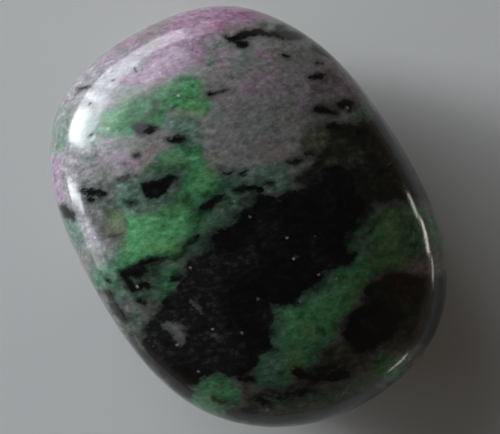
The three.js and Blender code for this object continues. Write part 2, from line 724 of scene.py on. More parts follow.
FLECK = layer(
    # in the pale top
    streak(
        (-1.7, 13.8, 0.08), (-1.3, 13.5, 0.2), (-0.7, 13.8, 0.3), (-0.3, 13.95, 0.3),
        (0.2, 14.0, 0.2), (0.7, 14.1, 0.22), (1.4, 13.9, 0.1), (2.1, 13.95, 0.26),
        (2.7, 13.9, 0.33), (3.6, 13.85, 0.26), (4.1, 13.8, 0.12),
    ),
    streak((-0.8, 13.3, 0.24), (-0.3, 13.2, 0.26)),
    streak((2.2, 14.45, 0.15), (2.7, 14.5, 0.14)),
    streak((0.8, 14.5, 0.02), (1.2, 14.55, 0.05)),
    streak((2.6, 12.35, 0.04), (2.9, 12.2, 0.09)),
    streak((4.9, 12.9, 0.12), (5.6, 12.6, 0.2), (6.3, 12.3, 0.1)),
    streak((5.2, 11.7, 0.08), (5.5, 11.7, 0.09)),
    streak((4.5, 10.6, 0.05), (4.9, 10.7, 0.18), (5.4, 10.75, 0.2), (5.7, 10.85, 0.05)),
    streak((5.1, 8.25, 0.18), (5.5, 8.25, 0.3), (5.9, 8.1, 0.16), (6.6, 8.0, 0.06)),
    streak((6.8, 8.6, 0.14), (7.1, 8.65, 0.26), (7.7, 8.7, 0.2), (7.6, 8.3, 0.16)),
    streak((-3.0, 9.3, 0.14), (-2.4, 9.5, 0.06), (-1.6, 9.7, 0.02)),
    streak((-12.8, 9.8, 0.06), (-12.0, 10.0, 0.07)),
    # in the left of the stone
    streak((-8.6, 6.9, 0.2), (-8.1, 6.8, 0.45), (-7.6, 6.8, 0.3), (-7.0, 6.85, 0.1)),
    streak((-6.2, 6.0, 0.05), (-5.8, 5.95, 0.14), (-5.3, 6.0, 0.27), (-4.8, 6.05, 0.16)),
    streak((-8.6, 4.75, 0.05), (-8.3, 4.85, 0.07)),
    streak((-9.8, 3.05, 0.12), (-9.4, 3.1, 0.16), (-9.1, 3.25, 0.09)),
    patch(
        (-8.1, 2.7), (-7.7, 2.8), (-7.3, 2.8), (-6.7, 2.95), (-6.2, 3.35), (-5.8, 3.35),
        (-5.4, 3.15), (-5.9, 2.8), (-6.1, 2.4), (-6.3, 1.95), (-6.9, 1.6), (-7.6, 1.55),
        (-7.9, 2.0),
    ),
    streak((-12.5, 2.1, 0.16), (-11.9, 2.0, 0.28), (-11.5, 2.05, 0.18), (-11.1, 2.15, 0.1),
           (-10.9, 1.9, 0.14), (-11.2, 1.7, 0.08)),
    streak((-12.1, 1.6, 0.18), (-11.8, 1.4, 0.12)),
    streak((-14.1, 0.9, 0.16), (-13.7, 0.4, 0.34), (-13.2, 0.2, 0.22)),
    streak((-13.1, 1.3, 0.04), (-12.9, 1.0, 0.05)),
    streak((-9.2, 1.3, 0.0), (-8.9, 1.15, 0.03), (-8.5, 1.35, 0.04)),
    # along the great mass
    streak((6.4, -3.5, 0.2), (7.3, -3.1, 0.4), (8.2, -2.5, 0.1)),
    streak((-5.4, -12.5, 0.3), (-4.7, -13.1, 0.4)),
    streak((-2.0, 3.35, 0.02), (-1.5, 3.4, 0.06), (-1.2, 3.6, 0.02)),
    streak((-0.7, 3.35, 0.1), (-0.4, 3.4, 0.12), (-0.1, 3.7, 0.05)),
    streak((-3.7, 0.8, 0.1), (-2.9, 1.1, 0.34), (-2.4, 1.5, 0.26), (-1.9, 1.8, 0.1)),
    streak((-1.0, 2.1, 0.1), (-0.4, 2.3, 0.18), (0.4, 2.4, 0.12), (0.9, 2.2, 0.2)),
    streak((3.1, 4.2, 0.12), (3.6, 4.4, 0.18), (4.0, 4.5, 0.1)),
    streak((4.4, 4.9, 0.12), (4.9, 4.95, 0.16)),
    streak((1.4, 2.8, 0.1), (1.7, 2.8, 0.08)),
    streak((5.8, 7.0, 0.12), (6.4, 7.1, 0.2), (6.8, 6.9, 0.1)),
    streak((8.3, 6.5, 0.25), (8.9, 6.6, 0.25)),
    streak((9.9, 3.5, 0.3), (10.4, 3.6, 0.2)),
    # round the pocket at the left
    streak((-8.3, -5.0, 0.2), (-7.7, -5.0, 0.3)),
    patch((-9.8, -3.9), (-9.0, -3.8), (-7.9, -3.5), (-7.6, -3.9), (-8.2, -4.4), (-7.9, -5.4),
          (-8.7, -5.6), (-9.2, -4.9)),
    streak((-9.0, -3.8, 0.1), (-8.0, -3.3, 0.2), (-6.9, -3.0, 0.1), (-6.1, -2.9, 0.03)),
    streak((-8.3, -6.2, 0.14), (-7.8, -6.4, 0.16)),
    streak((-5.7, -4.5, 0.22), (-5.2, -4.4, 0.24)),
    streak((-4.6, -1.8, 0.08), (-4.2, -1.75, 0.1), (-3.8, -1.3, 0.06)),
    streak((-10.7, -5.6, 0.08), (-10.5, -5.7, 0.1)),
    streak((-9.9, -6.9, 0.06), (-9.4, -7.6, 0.08)),
    streak((-10.6, -4.6, 0.06)),
    streak((-2.5, -13.6, 0.05), (-2.1, -13.8, 0.09), (-1.7, -13.8, 0.05)),
    gaps=(streak((-8.9, -4.4, 0.1), (-8.4, -4.8, 0.3)),),
)
VEIL = layer(
    patch(
        (-5.0, -2.9), (-2.6, -2.2), (-1.2, -2.6), (0.4, -2.4), (1.0, -3.6), (-1.6, -4.6),
        (-2.2, -6.4), (-0.8, -8.6), (0.2, -10.8), (-3.0, -11.4), (-5.0, -10.8), (-7.6, -11.0),
        (-8.6, -9.0), (-6.6, -6.8), (-5.6, -5.4),
    ),
    patch((2.8, 2.0), (3.0, 4.4), (5.0, 4.6), (5.8, 3.6), (5.0, 2.4)),
    streak((9.4, 5.7, 0.4), (10.2, 4.6, 0.4)),
    streak((0.9, -0.2, 0.3), (1.4, -1.6, 0.5), (2.1, 0.2, 0.2)),
    streak((4.9, -1.6, 0.1), (5.4, -3.0, 0.4), (6.2, -3.4, 0.2)),
    streak((1.0, -7.0, 0.3), (1.4, -8.0, 0.3)),
    streak((6.0, 2.2, 0.0), (6.2, 1.6, 0.2)),
    streak((8.6, -8.0, 0.1), (9.2, -8.0, 0.3)),
    streak((11.2, -7.2, 0.3)),
)
ZOISITE = layer(
    # the band under the ruby
    patch(
        (-11.6, 6.5), (-11.3, 7.8), (-10.2, 8.4), (-9.2, 8.9), (-8.2, 9.2), (-7.2, 9.6),
        (-6.5, 9.8), (-6.1, 10.5), (-5.4, 10.9), (-4.6, 11.1), (-3.8, 10.9), (-3.4, 10.4),
        (-3.3, 9.3), (-2.9, 8.6), (-3.0, 7.9), (-4.0, 7.7), (-4.8, 8.0), (-5.8, 8.2), (-6.2, 7.7),
        (-6.6, 7.2), (-7.4, 7.1), (-8.4, 6.6), (-9.2, 6.2), (-10.4, 6.3),
    ),
    # the big green body on the left
    patch(
        (-6.6, 3.9), (-7.2, 4.5), (-6.5, 5.0), (-5.6, 5.5), (-4.6, 5.8), (-3.5, 5.6), (-3.4, 4.2),
        (-2.9, 3.7), (-2.3, 3.2), (-1.4, 2.6), (-0.6, 1.8), (-1.6, 0.4), (-2.6, -0.8), (-3.6, -2.2),
        (-5.2, -3.2), (-6.6, -3.2), (-8.2, -3.4), (-9.2, -3.8), (-9.7, -4.2), (-9.9, -5.3),
        (-11.8, -5.2), (-11.8, -4.2), (-11.0, -3.4), (-10.2, -3.0), (-9.8, -2.2), (-9.4, -1.2),
        (-9.4, 0.1), (-8.4, 0.4), (-7.2, 0.7), (-6.2, 1.2), (-5.6, 1.9), (-5.2, 2.8), (-5.1, 3.5),
    ),
    patch((-7.4, -3.6), (-5.4, -3.2), (-4.8, -4.2), (-5.4, -5.2), (-6.4, -6.2), (-7.0, -6.0)),
    patch((-8.0, 3.5), (-7.2, 4.4), (-5.2, 4.0), (-5.4, 3.5), (-6.6, 3.4)),
    # the band that climbs to the right
    patch(
        (0.5, -12.8), (0.4, -11.3), (0.4, -10.2), (1.4, -9.4), (1.5, -8.0), (1.4, -6.4),
        (3.0, -6.1), (4.0, -5.5), (5.2, -4.8), (6.0, -4.0), (6.8, -3.2), (7.2, -1.8), (8.0, -0.4),
        (9.2, 0.4), (10.4, 1.1), (12.2, 1.3), (14.6, 0.4), (14.8, -2.0), (12.4, -3.0), (10.9, -3.8),
        (9.9, -4.1), (9.4, -4.5), (9.0, -5.0), (8.5, -5.6), (8.3, -6.3), (7.7, -7.2), (6.9, -7.6),
        (6.6, -8.6), (6.0, -9.3), (5.4, -10.2), (5.0, -10.9), (4.1, -11.2), (3.4, -11.8),
        (3.2, -12.5), (2.2, -12.7),
    ),
    # the foot of that band at the bottom left, and a last body by the lower right rim
    patch((-4.4, -12.9), (-3.4, -12.2), (-2.4, -11.5), (-1.5, -11.9), (-1.0, -12.6), (-0.4, -13.2),
          (-0.6, -13.9), (-1.2, -14.6), (-1.4, -16.0), (-3.6, -16.0), (-4.9, -14.2)),
    patch((9.2, -10.6), (10.2, -10.2), (11.3, -10.6), (12.2, -11.4), (10.6, -12.6), (9.4, -11.6)),
    traces=(
        patch((-4.8, 1.6), (-3.2, 1.8), (-2.2, 1.2), (-2.8, -0.2), (-4.6, -0.6)),
        patch((-10.0, -1.4), (-9.0, -0.4), (-8.8, 1.0), (-9.8, 1.2), (-10.2, 0.0)),
        # the end of the band under the ruby, thin at the left rim
        patch((-13.0, 5.6), (-12.8, 7.8), (-11.6, 8.0), (-11.4, 5.8)),
        patch((-15.8, 5.1), (-15.8, 8.4), (-13.8, 8.4), (-12.9, 7.6), (-13.2, 5.9), (-14.2, 5.2)),
        patch((-8.8, 6.9), (-8.4, 8.2), (-7.6, 8.0), (-8.0, 7.0)),
        patch((-6.8, 3.4), (-6.0, 4.2), (-5.0, 4.0), (-5.2, 2.9), (-6.0, 3.0)),
        patch((1.5, -13.4), (9.5, -12.0), (10.6, -13.2), (6.0, -16.0), (1.0, -16.0)),
    ),
)
BRIGHT = layer(
    patch((-9.2, 0.1), (-7.0, 0.4), (-5.2, 0.6), (-4.4, 0.2), (-4.6, -1.2), (-5.4, -2.2),
          (-7.0, -2.6), (-8.8, -2.8), (-9.6, -2.2)),
    patch((-4.9, 3.6), (-3.2, 3.7), (-2.6, 3.0), (-3.0, 2.2), (-4.8, 2.0)),
    patch((2.7, -7.0), (5.0, -6.2), (7.0, -4.6), (8.2, -5.0), (7.4, -6.6), (6.5, -7.5), (5.8, -9.2),
          (4.0, -9.6), (2.7, -9.2)),
    patch((3.2, -10.2), (4.4, -10.3), (4.4, -11.3), (3.2, -11.6)),
    patch((-3.8, -12.8), (-1.6, -12.5), (-1.0, -13.2), (-1.0, -16.0), (-4.6, -15.0)),
)
SAGE = layer(
    patch((-10.4, 0.4), (-10.3, 2.4), (-9.2, 3.2), (-8.2, 3.2), (-6.8, 3.6), (-5.4, 3.8),
          (-4.9, 2.8), (-5.8, 1.4), (-6.8, 0.7), (-8.6, 0.2)),
    patch((-14.1, 0.0), (-12.7, 0.0), (-12.3, -1.6), (-12.6, -2.6), (-14.2, -1.4)),
    patch((-6.4, 6.6), (-6.2, 8.0), (-4.6, 8.0), (-3.4, 7.4), (-3.4, 5.8), (-5.0, 5.2)),
    patch((-3.3, -0.8), (-3.0, 0.4), (-2.4, 0.9), (-2.6, 1.8), (-1.6, 3.2), (0.2, 3.4), (1.6, 4.2),
          (3.0, 4.2), (3.1, 2.0), (1.0, 1.6), (-1.0, -0.4), (-3.0, -1.2)),
    patch((-4.9, -1.6), (-3.2, -1.2), (-2.4, -2.4), (-3.8, -3.4), (-5.4, -3.0)),
    patch((-9.0, -3.9), (-7.2, -3.3), (-5.9, -3.3), (-6.6, -5.0), (-7.0, -6.4), (-9.0, -6.6),
          (-9.9, -6.4), (-11.0, -5.8), (-11.4, -5.4), (-9.8, -5.2)),
    patch((0.5, -12.9), (0.6, -11.0), (1.8, -10.3), (3.0, -9.6), (2.9, -10.6), (2.6, -12.6)),
    patch((1.0, -6.0), (2.5, -6.5), (2.5, -8.4), (2.4, -10.0), (0.8, -10.2)),
    streak((3.4, -6.3, 0.2), (4.6, -5.7, 0.3), (5.6, -5.2, 0.3), (6.4, -4.5, 0.5)),
    patch((7.6, -1.6), (8.4, -0.4), (9.6, -0.1), (9.8, -1.4), (9.4, -2.6), (8.2, -3.0)),
    streak((10.0, 0.8, 0.3), (11.2, 0.9, 0.3)),
    patch((4.2, -14.4), (4.4, -12.8), (6.2, -12.5), (8.2, -12.2), (9.8, -11.9), (10.6, -12.8),
          (7.6, -13.6), (6.0, -14.2)),
    patch((2.2, -14.8), (2.4, -13.6), (4.2, -13.5), (4.4, -14.6)),
    patch((8.0, 7.2), (7.9, 8.2), (8.6, 9.0), (9.4, 8.4), (9.8, 7.0)),
    patch((-12.0, -5.4), (-12.0, -4.0), (-10.6, -2.8), (-9.7, -4.0), (-9.8, -5.3)),
    streak((-2.9, 11.3, 0.1), (-2.5, 13.2, 0.1), (-1.6, 13.3, 0.1)),
    traces=(
        patch((-12.6, 1.4), (-12.4, 2.8), (-10.4, 3.2), (-9.2, 3.0), (-9.4, -2.6), (-10.2, -3.2),
              (-11.6, -4.0), (-12.0, -2.6), (-11.2, -1.2), (-11.0, 0.6)),
        patch((-12.9, 4.2), (-12.4, 6.0), (-11.4, 7.9), (-10.6, 6.6), (-11.4, 5.2), (-11.8, 4.0)),
        patch((-4.4, -12.9), (-2.4, -12.1), (-0.8, -13.0), (-1.8, -15.6), (-4.9, -14.2)),
        patch((-9.4, -6.4), (-7.4, -6.2), (-7.2, -7.6), (-8.4, -9.4), (-9.4, -8.6)),
        patch((-7.8, 3.6), (-6.8, 5.0), (-5.2, 5.6), (-4.8, 4.6), (-6.2, 3.6)),
        patch((4.0, -9.2), (5.6, -8.8), (5.6, -10.4), (4.2, -10.8)),
        patch((0.5, -13.8), (9.5, -12.2), (10.6, -13.2), (6.0, -16.0), (0.0, -16.0)),
        # painted sheen: a greyer green on the left rim
        patch((-16.0, 5.2), (-16.0, 8.4), (-13.6, 8.2), (-13.4, 5.9)),
    ),
)
LIME = layer(
    streak((-11.1, 7.6, 0.3), (-10.4, 7.0, 0.2)),
    streak((-9.4, 9.1, 0.1), (-8.2, 9.5, 0.1)),
    streak((-4.6, 8.1, 0.0), (-3.2, 8.1, 0.2)),
    patch((-10.6, -0.7), (-9.7, -0.8), (-9.7, 0.1), (-10.4, 0.5)),
    streak((-3.1, 3.4, 0.2), (-2.6, 4.4, 0.2)),
    streak((-7.8, -2.2, 0.0), (-5.4, -2.3, 0.1)),
    streak((-6.0, 4.4, 0.1), (-5.0, 4.3, 0.0)),
    patch((10.1, 0.0), (11.2, 0.2), (11.4, -1.8), (10.2, -2.2)),
    streak((9.2, -3.2, 0.4), (11.8, -3.0, 0.4)),
    streak((8.2, -4.6, 0.2), (8.4, -5.6, 0.3), (7.9, -6.8, 0.1)),
    streak((4.4, -8.0, 0.3), (5.0, -8.9, 0.3)),
    patch((3.0, -9.8), (4.2, -9.9), (4.2, -11.2), (3.2, -12.4)),
    streak((3.2, 14.3, 0.2)),
)
DEEP = layer(
    streak((-8.1, 7.5, 0.2), (-7.5, 8.0, 0.3), (-7.1, 8.7, 0.4), (-6.5, 8.9, 0.2)),
    streak((-9.7, 8.4, 0.0), (-9.0, 8.6, 0.06)),
    streak((-4.0, 0.4, 0.1), (-2.8, 1.0, 0.3), (-2.0, 1.4, 0.1)),
    streak((-9.6, -3.9, 0.1), (-8.4, -3.4, 0.25), (-7.2, -3.1, 0.15)),
    streak((-6.4, 9.75, 0.04), (-5.9, 9.7, 0.1), (-5.4, 9.7, 0.04)),
    streak((-5.4, 10.5, 0.05), (-5.0, 10.7, 0.15)),
    streak((7.0, -1.6, 0.2), (7.3, -2.6, 0.5), (7.2, -3.2, 0.2)),
    streak((8.0, -0.6, 0.1), (8.7, -0.1, 0.2)),
    streak((12.1, -0.9, 0.1), (12.6, -1.0, 0.05)),
    streak((12.2, -2.0, 0.15), (12.8, -1.9, 0.15)),
    streak((5.3, -8.3, 0.15), (5.6, -8.5, 0.15)),
    streak((6.9, -4.4, 0.1), (7.2, -4.4, 0.05)),
    streak((7.0, -6.3, 0.05), (7.4, -6.0, 0.08)),
    streak((8.9, -2.2, 0.1), (9.2, -2.1, 0.0)),
    streak((-4.9, -2.2, 0.2), (-4.2, -1.9, 0.1), (-3.6, -1.6, 0.15), (-2.9, -3.3, 0.2)),
    streak((-8.2, -3.3, 0.2), (-7.2, -3.2, 0.2)),
    streak((-8.0, -6.2, 0.2), (-7.6, -5.9, 0.1)),
    streak((-10.9, -4.5, 0.0), (-10.4, -4.6, 0.1)),
    streak((-1.2, 2.1, 0.2), (0.2, 2.2, 0.2), (0.4, 1.5, 0.2)),
    streak((-1.4, 0.3, 0.1), (-0.5, 0.3, 0.3)),
    streak((-3.4, 1.0, 0.2), (-2.6, 1.4, 0.3)),
    streak((1.3, 2.7, 0.1), (1.7, 2.8, 0.2)),
    streak((3.9, -11.5, 0.2), (4.6, -11.5, 0.1)),
    streak((2.8, -12.8, 0.1), (3.3, -12.6, 0.15)),
    streak((5.9, -10.0, 0.2), (6.3, -10.0, 0.15)),
    streak((8.0, -13.2, 0.1), (9.2, -12.9, 0.2)),
    streak((9.6, -12.2, 0.1), (10.6, -12.5, 0.2)),
    streak((11.5, -11.1, 0.1), (11.9, -10.8, 0.1)),
    streak((-2.6, -13.4, 0.1), (-1.6, -13.7, 0.1), (-0.9, -13.8, 0.1)),
    traces=(
        patch((-6.0, 1.6), (-5.2, 3.2), (-4.8, 5.6), (-3.5, 5.5), (-3.4, 4.0), (-1.6, 2.6),
              (-3.8, 0.4), (-4.8, 0.8)),
        patch((-9.6, 7.2), (-8.6, 9.2), (-6.8, 9.8), (-5.0, 9.6), (-5.6, 8.4), (-7.2, 7.2)),
        patch((-5.4, -2.9), (-4.2, -1.4), (-2.6, -0.8), (-3.4, -3.2)),
        patch((-9.4, -4.2), (-8.0, -3.2), (-5.0, -2.8), (-6.0, -5.4), (-7.2, -6.8), (-8.6, -6.4)),
        patch((1.6, -12.9), (2.6, -11.8), (3.6, -11.8), (3.6, -12.9)),
        patch((11.4, 0.4), (13.2, 0.4), (13.2, -2.4), (11.6, -2.4)),
    ),
)
# dark olive on the right, and painted shade under the lower right rim
DUSK_AND_RIM_SHADE = layer(
    patch(
        (5.0, 6.3), (5.8, 7.3), (7.2, 7.6), (8.2, 7.4), (9.2, 7.6), (10.6, 9.6), (16.0, 8.0),
        (16.0, 0.8), (12.4, 1.2), (11.2, 1.2), (10.4, 0.9), (9.6, 1.0), (8.4, 0.4), (6.0, 2.6),
        (5.0, 4.4), (5.2, 5.4),
    ),
    patch(
        (9.0, -4.6), (10.2, -4.0), (12.0, -3.8), (13.4, -4.0), (16.0, -4.0), (16.0, -9.8),
        (13.4, -9.4), (12.0, -9.8), (10.4, -9.6), (9.4, -10.2), (7.4, -9.2), (7.0, -7.9),
        (8.6, -6.4), (8.7, -5.4),
    ),
    # painted shade on the underside of the lower right rim
    patch((5.4, -14.5), (6.4, -13.7), (8.0, -13.3), (9.6, -12.8), (10.4, -13.4), (8.0, -16.0),
          (4.0, -16.0)),
    streak((4.6, -11.4, 0.2), (6.6, -10.9, 0.4), (8.6, -10.8, 0.1)),
    streak((6.6, -9.6, 0.1), (7.8, -9.5, 0.2)),
    streak((-6.0, -5.7, 0.3), (-5.0, -5.6, 0.4)),
    streak((3.4, 2.9, 0.3), (4.4, 3.3, 0.7), (5.4, 4.0, 0.7)),
    streak((-2.4, 0.4, 0.0), (-1.2, 1.1, 0.2), (-0.3, 1.6, 0.2)),
    streak((-6.2, -3.3, 0.1), (-4.9, -2.6, 0.3), (-4.2, -1.9, 0.2)),
    streak((-9.3, -4.2, 0.3), (-8.0, -3.7, 0.4), (-6.4, -3.2, 0.2)),
    streak((-10.9, -5.5, 0.3), (-10.1, -6.6, 0.5), (-9.4, -7.7, 0.3)),
    streak((-8.8, -8.9, 0.3), (-7.9, -10.4, 0.5), (-6.8, -11.8, 0.4)),
    streak((-0.9, -11.8, 0.2), (0.2, -12.1, 0.3)),
    streak((3.4, -12.5, 0.2), (4.8, -12.5, 0.3)),
    streak((-0.3, -12.8, 0.1), (0.2, -13.6, 0.3)),
    streak((7.2, -2.0, 0.3), (8.0, -0.6, 0.3), (9.0, 0.4, 0.3)),
    traces=(
        # round the pocket, and along the left edge of the black
        patch(
            (-9.6, -3.9), (-8.2, -3.2), (-6.2, -2.7), (-4.9, -1.7), (-3.6, -0.9), (-2.4, 0.4),
            (-1.0, 0.6), (0.2, 1.6), (-1.6, -1.0), (-3.4, -3.4), (-5.4, -6.2), (-7.6, -8.4),
            (-8.2, -11.0), (-10.4, -8.6), (-11.8, -5.4), (-10.0, -5.2),
        ),
        patch((-4.2, 0.6), (-3.2, 2.0), (-1.4, 2.9), (0.4, 2.8), (2.4, 2.6), (3.2, 4.6), (5.4, 5.4),
              (6.0, 3.6), (3.0, 1.8), (0.6, 1.4), (-1.4, -0.2), (-3.4, -1.4), (-4.6, -1.6)),
        patch((-8.8, 0.9), (-8.6, 3.0), (-6.4, 4.2), (-5.0, 3.9), (-4.8, 2.6), (-4.6, 0.6),
              (-7.0, 0.2)),
        patch((-12.9, 2.6), (-10.4, 2.9), (-10.0, 0.4), (-11.2, -1.0), (-12.0, 0.2)),
        patch((9.4, -2.9), (13.8, -2.7), (13.8, -4.2), (9.6, -4.3)),
        patch((2.6, 15.4), (4.2, 14.0), (6.4, 11.9), (8.2, 9.8), (9.8, 9.8), (6.0, 15.0)),
        patch((4.2, 7.4), (4.6, 9.6), (6.4, 10.6), (8.4, 10.6), (9.8, 9.2), (9.4, 7.6), (6.0, 6.8)),
        patch((4.4, 5.0), (4.4, 7.0), (6.0, 7.8), (8.0, 8.8), (9.6, 8.2), (10.4, 6.0), (8.0, 6.6)),
        patch((-0.9, -11.1), (0.6, -10.9), (0.6, -12.9), (-0.8, -12.4)),
        patch((-8.5, -5.5), (-8.5, -4.5), (-7.5, -4.5), (-7.4, -5.4)),
        patch((-6.3, -3.9), (-5.9, -3.0), (-4.8, -3.1), (-5.1, -4.0)),
        patch((-3.2, 2.7), (-2.9, 3.7), (-1.8, 3.7), (-1.9, 2.8)),
        patch((-5.8, -12.2), (-4.6, -12.2), (-4.0, -13.4), (-4.9, -14.0)),
        patch((9.6, 1.2), (10.6, 0.9), (9.9, 0.0), (9.2, -0.6), (8.2, -1.4), (8.6, 0.2)),
    ),
)
OLIVE = layer(
    patch((4.0, 4.9), (4.1, 6.6), (5.4, 7.4), (6.0, 6.6), (5.6, 5.0)),
    streak((5.7, 8.7, 0.1), (6.4, 8.6, 0.3)),
    streak((6.0, 11.2, 0.2), (6.8, 10.6, 0.2)),
    streak((9.3, 5.8, -0.1), (10.2, 4.4, -0.1)),
    patch((5.2, -10.6), (6.4, -9.4), (7.8, -9.4), (9.2, -10.3), (9.6, -11.4), (8.0, -11.5),
          (6.4, -11.3)),
    patch((9.5, -9.2), (10.6, -8.6), (12.0, -8.4), (12.2, -9.6), (10.8, -10.3), (9.5, -10.2)),
    streak((-0.2, -13.3, 0.2), (0.4, -13.5, 0.2)),
    streak((-11.9, -2.4, 0.1), (-11.4, -3.1, 0.2)),
    streak((9.3, 0.9, 0.1), (9.6, 0.5, 0.2)),
    streak((-2.2, 0.8, 0.2), (-1.3, 0.6, 0.1)),
    streak((8.2, -4.9, 0.2), (8.6, -5.2, 0.1)),
    streak((12.9, -9.8, 0.2), (11.4, -11.4, 0.1)),
    streak((13.2, -0.5, 0.1), (14.2, -2.2, 0.2)),
    traces=(
        patch((6.0, 4.2), (6.4, 5.8), (8.0, 5.6), (8.6, 4.6), (7.0, 3.9)),
        patch((-10.8, 0.8), (-9.4, 0.6), (-9.0, -1.0), (-9.6, -2.2), (-10.8, -1.8)),
        patch((11.4, -6.2), (11.6, -8.2), (13.2, -9.0), (13.6, -6.4)),
        patch((8.2, 0.2), (10.0, 1.2), (13.6, 1.2), (15.0, -2.8), (10.8, -4.0), (8.8, -3.2)),
    ),
)
RUBY = layer(
    streak((-3.0, 15.3, 0.0), (-1.5, 15.3, 0.15), (-0.6, 15.5, 0.3), (0.4, 15.5, 0.3)),
    streak((-4.0, 14.5, -0.1), (-2.8, 14.5, 0.25), (-2.0, 14.6, 0.15)),
    streak((-3.1, 14.1, -0.1)),
    streak((-6.0, 13.5, -0.1), (-5.0, 14.0, 0.0), (-4.6, 14.1, 0.0)),
    streak((-6.8, 12.2, -0.2), (-5.4, 12.3, -0.15)),
    streak((-6.2, 11.3, -0.2)),
    streak((-9.6, 10.6, -0.1), (-9.2, 10.3, 0.0)),
    streak((-8.8, 10.4, 0.0), (-8.4, 10.4, -0.05)),
    streak((-9.9, 13.1, 0.0), (-9.0, 13.4, 0.1), (-8.3, 13.6, -0.1)),
    streak((1.0, 13.0, -0.15), (1.6, 12.0, -0.15)),
    streak((-0.8, 10.4, -0.15), (-0.1, 9.8, -0.05), (0.5, 9.5, -0.15)),
    streak((1.7, 10.4, -0.35)),
    streak((1.7, 4.8, -0.3), (2.9, 4.85, -0.25)),
    streak((5.8, 4.7, -0.2), (6.4, 4.7, -0.2)),
    streak((9.2, -5.5, -0.15), (9.9, -5.4, -0.2), (10.2, -6.0, -0.2)),
    streak((-2.6, -1.5, -0.1), (-2.5, -2.3, 0.0)),
    streak((3.8, -11.9, -0.1), (4.4, -12.1, -0.1)),
    streak((7.2, -8.3, -0.2)),
    traces=(
        patch((-8.6, 14.0), (-4.0, 16.2), (1.2, 16.2), (1.2, 15.0), (-2.0, 14.5), (-5.0, 14.3),
              (-7.5, 13.4)),
    ),
)
BLUSH = layer(
    patch(
        (-9.6, 10.4), (-8.4, 10.0), (-7.0, 10.3), (-5.8, 11.2), (-4.2, 11.5), (-3.4, 12.2),
        (-3.6, 13.4), (-2.4, 14.2), (-1.4, 14.8), (0.4, 14.9), (1.4, 15.0), (1.6, 16.5),
        (-7.0, 16.5), (-5.6, 14.8), (-7.0, 13.2), (-8.0, 11.4),
    ),
    streak((-9.6, 13.2, 0.0), (-8.6, 13.4, 0.1)),
    streak((-2.2, 12.4, -0.1), (-1.0, 12.3, 0.0)),
    streak((0.8, 12.8, 0.2), (1.5, 12.2, 0.2)),
    streak((-0.8, 9.9, 0.1), (0.4, 9.6, 0.0), (1.6, 9.4, -0.1)),
    streak((1.0, 10.6, -0.1), (1.8, 10.3, 0.0)),
    streak((4.6, 9.4, -0.2), (6.6, 9.9, 0.3), (7.6, 9.8, 0.3)),
    streak((4.3, 8.2, -0.3), (4.6, 10.4, -0.3)),
    streak((-11.0, 4.3, 0.0), (-9.6, 4.6, 0.2), (-8.6, 4.3, 0.2), (-9.6, 3.8, 0.1)),
    streak((-14.8, 4.2, 0.3), (-14.6, 2.6, 0.35), (-14.3, 1.2, 0.25)),
    streak((-12.0, -1.2, 0.0), (-10.9, -1.6, 0.1)),
    streak((12.2, -3.2, 0.2), (13.0, -3.4, 0.3)),
    streak((9.5, -4.4, 0.2), (9.9, -4.6, 0.1)),
    streak((8.3, -6.8, 0.1), (9.2, -6.3, 0.15), (10.2, -6.2, 0.0)),
    streak((-0.9, -11.5, 0.0), (-0.3, -11.6, 0.0)),
    streak((3.6, -12.6, 0.0), (5.8, -12.5, 0.0)),
    streak((6.7, -8.2, 0.0), (7.2, -7.8, 0.0)),
    traces=(
        patch((-11.2, 11.9), (-9.6, 13.2), (-8.4, 13.6), (-8.0, 12.4), (-9.6, 11.5)),
        patch((-3.4, 11.4), (-3.4, 14.4), (-1.6, 14.6), (-0.8, 12.6), (-1.6, 11.4)),
        patch((-0.4, 9.2), (0.0, 11.0), (2.2, 11.2), (2.4, 9.4)),
        patch((4.0, 8.2), (4.2, 11.6), (6.6, 11.8), (8.2, 9.4), (7.8, 8.2)),
    ),
)
RUST = layer(
    streak((-10.7, -1.3, 0.05), (-10.2, -1.3, 0.25), (-9.7, -1.2, 0.15)),
    streak((-7.8, -3.4, 0.05), (-6.9, -3.2, 0.1), (-6.4, -3.2, 0.02)),
    streak((-9.1, -4.8, 0.15), (-8.9, -5.0, 0.15)),
    streak((5.2, 8.4, 0.15), (6.2, 8.1, 0.25), (6.8, 8.1, 0.14)),
    streak((-2.3, 1.6, 0.1), (-1.6, 1.6, 0.1)),
    streak((-8.7, 4.75, 0.1), (-8.2, 4.9, 0.08)),
    streak((-9.8, 4.1, 0.0), (-9.3, 4.1, 0.05)),
    streak((-5.6, -5.8, 0.1), (-5.2, -5.6, 0.1)),
    patch((10.2, -4.3), (11.8, -4.0), (13.2, -4.1), (13.1, -5.2), (12.2, -6.4), (10.8, -6.4)),
    streak((8.9, -5.2, 0.1), (9.6, -5.0, 0.1)),
    streak((5.2, -11.1, 0.08), (5.6, -10.8, 0.1)),
    streak((8.6, 0.6, 0.2), (9.2, 0.8, 0.2)),
    streak((-7.8, 2.4, 0.1), (-6.9, 2.4, 0.2)),
)
# lighter on the left: a paler matrix, and painted sheen where the highlights lie at the left and
# along the top-left rim
PALE_AND_SHEEN = layer(
    patch((-16.0, 5.4), (-12.6, 6.0), (-10.2, 6.0), (-9.8, 5.0), (-11.4, 4.2), (-11.4, 2.4),
          (-11.2, -1.0), (-10.6, -2.6), (-11.4, -3.4), (-12.6, -2.6), (-13.4, 0.2), (-16.0, 1.0)),
    # painted sheen in the highlight at the top left
    patch((-13.0, 12.4), (-10.4, 12.4), (-8.4, 12.0), (-9.4, 9.9), (-11.4, 8.7), (-15.4, 8.7)),
    # painted sheen along the top rim
    streak((-8.6, 14.4, 0.5), (-6.2, 15.6, 0.5)),
    streak((1.6, 15.0, 0.1), (2.6, 14.9, 0.1)),
    streak((-5.9, 1.4, -0.3), (-5.7, 2.4, -0.3)),
    # painted sheen on the left rim
    patch((-16.0, 5.0), (-16.0, 9.0), (-13.4, 8.8), (-13.2, 5.6)),
)
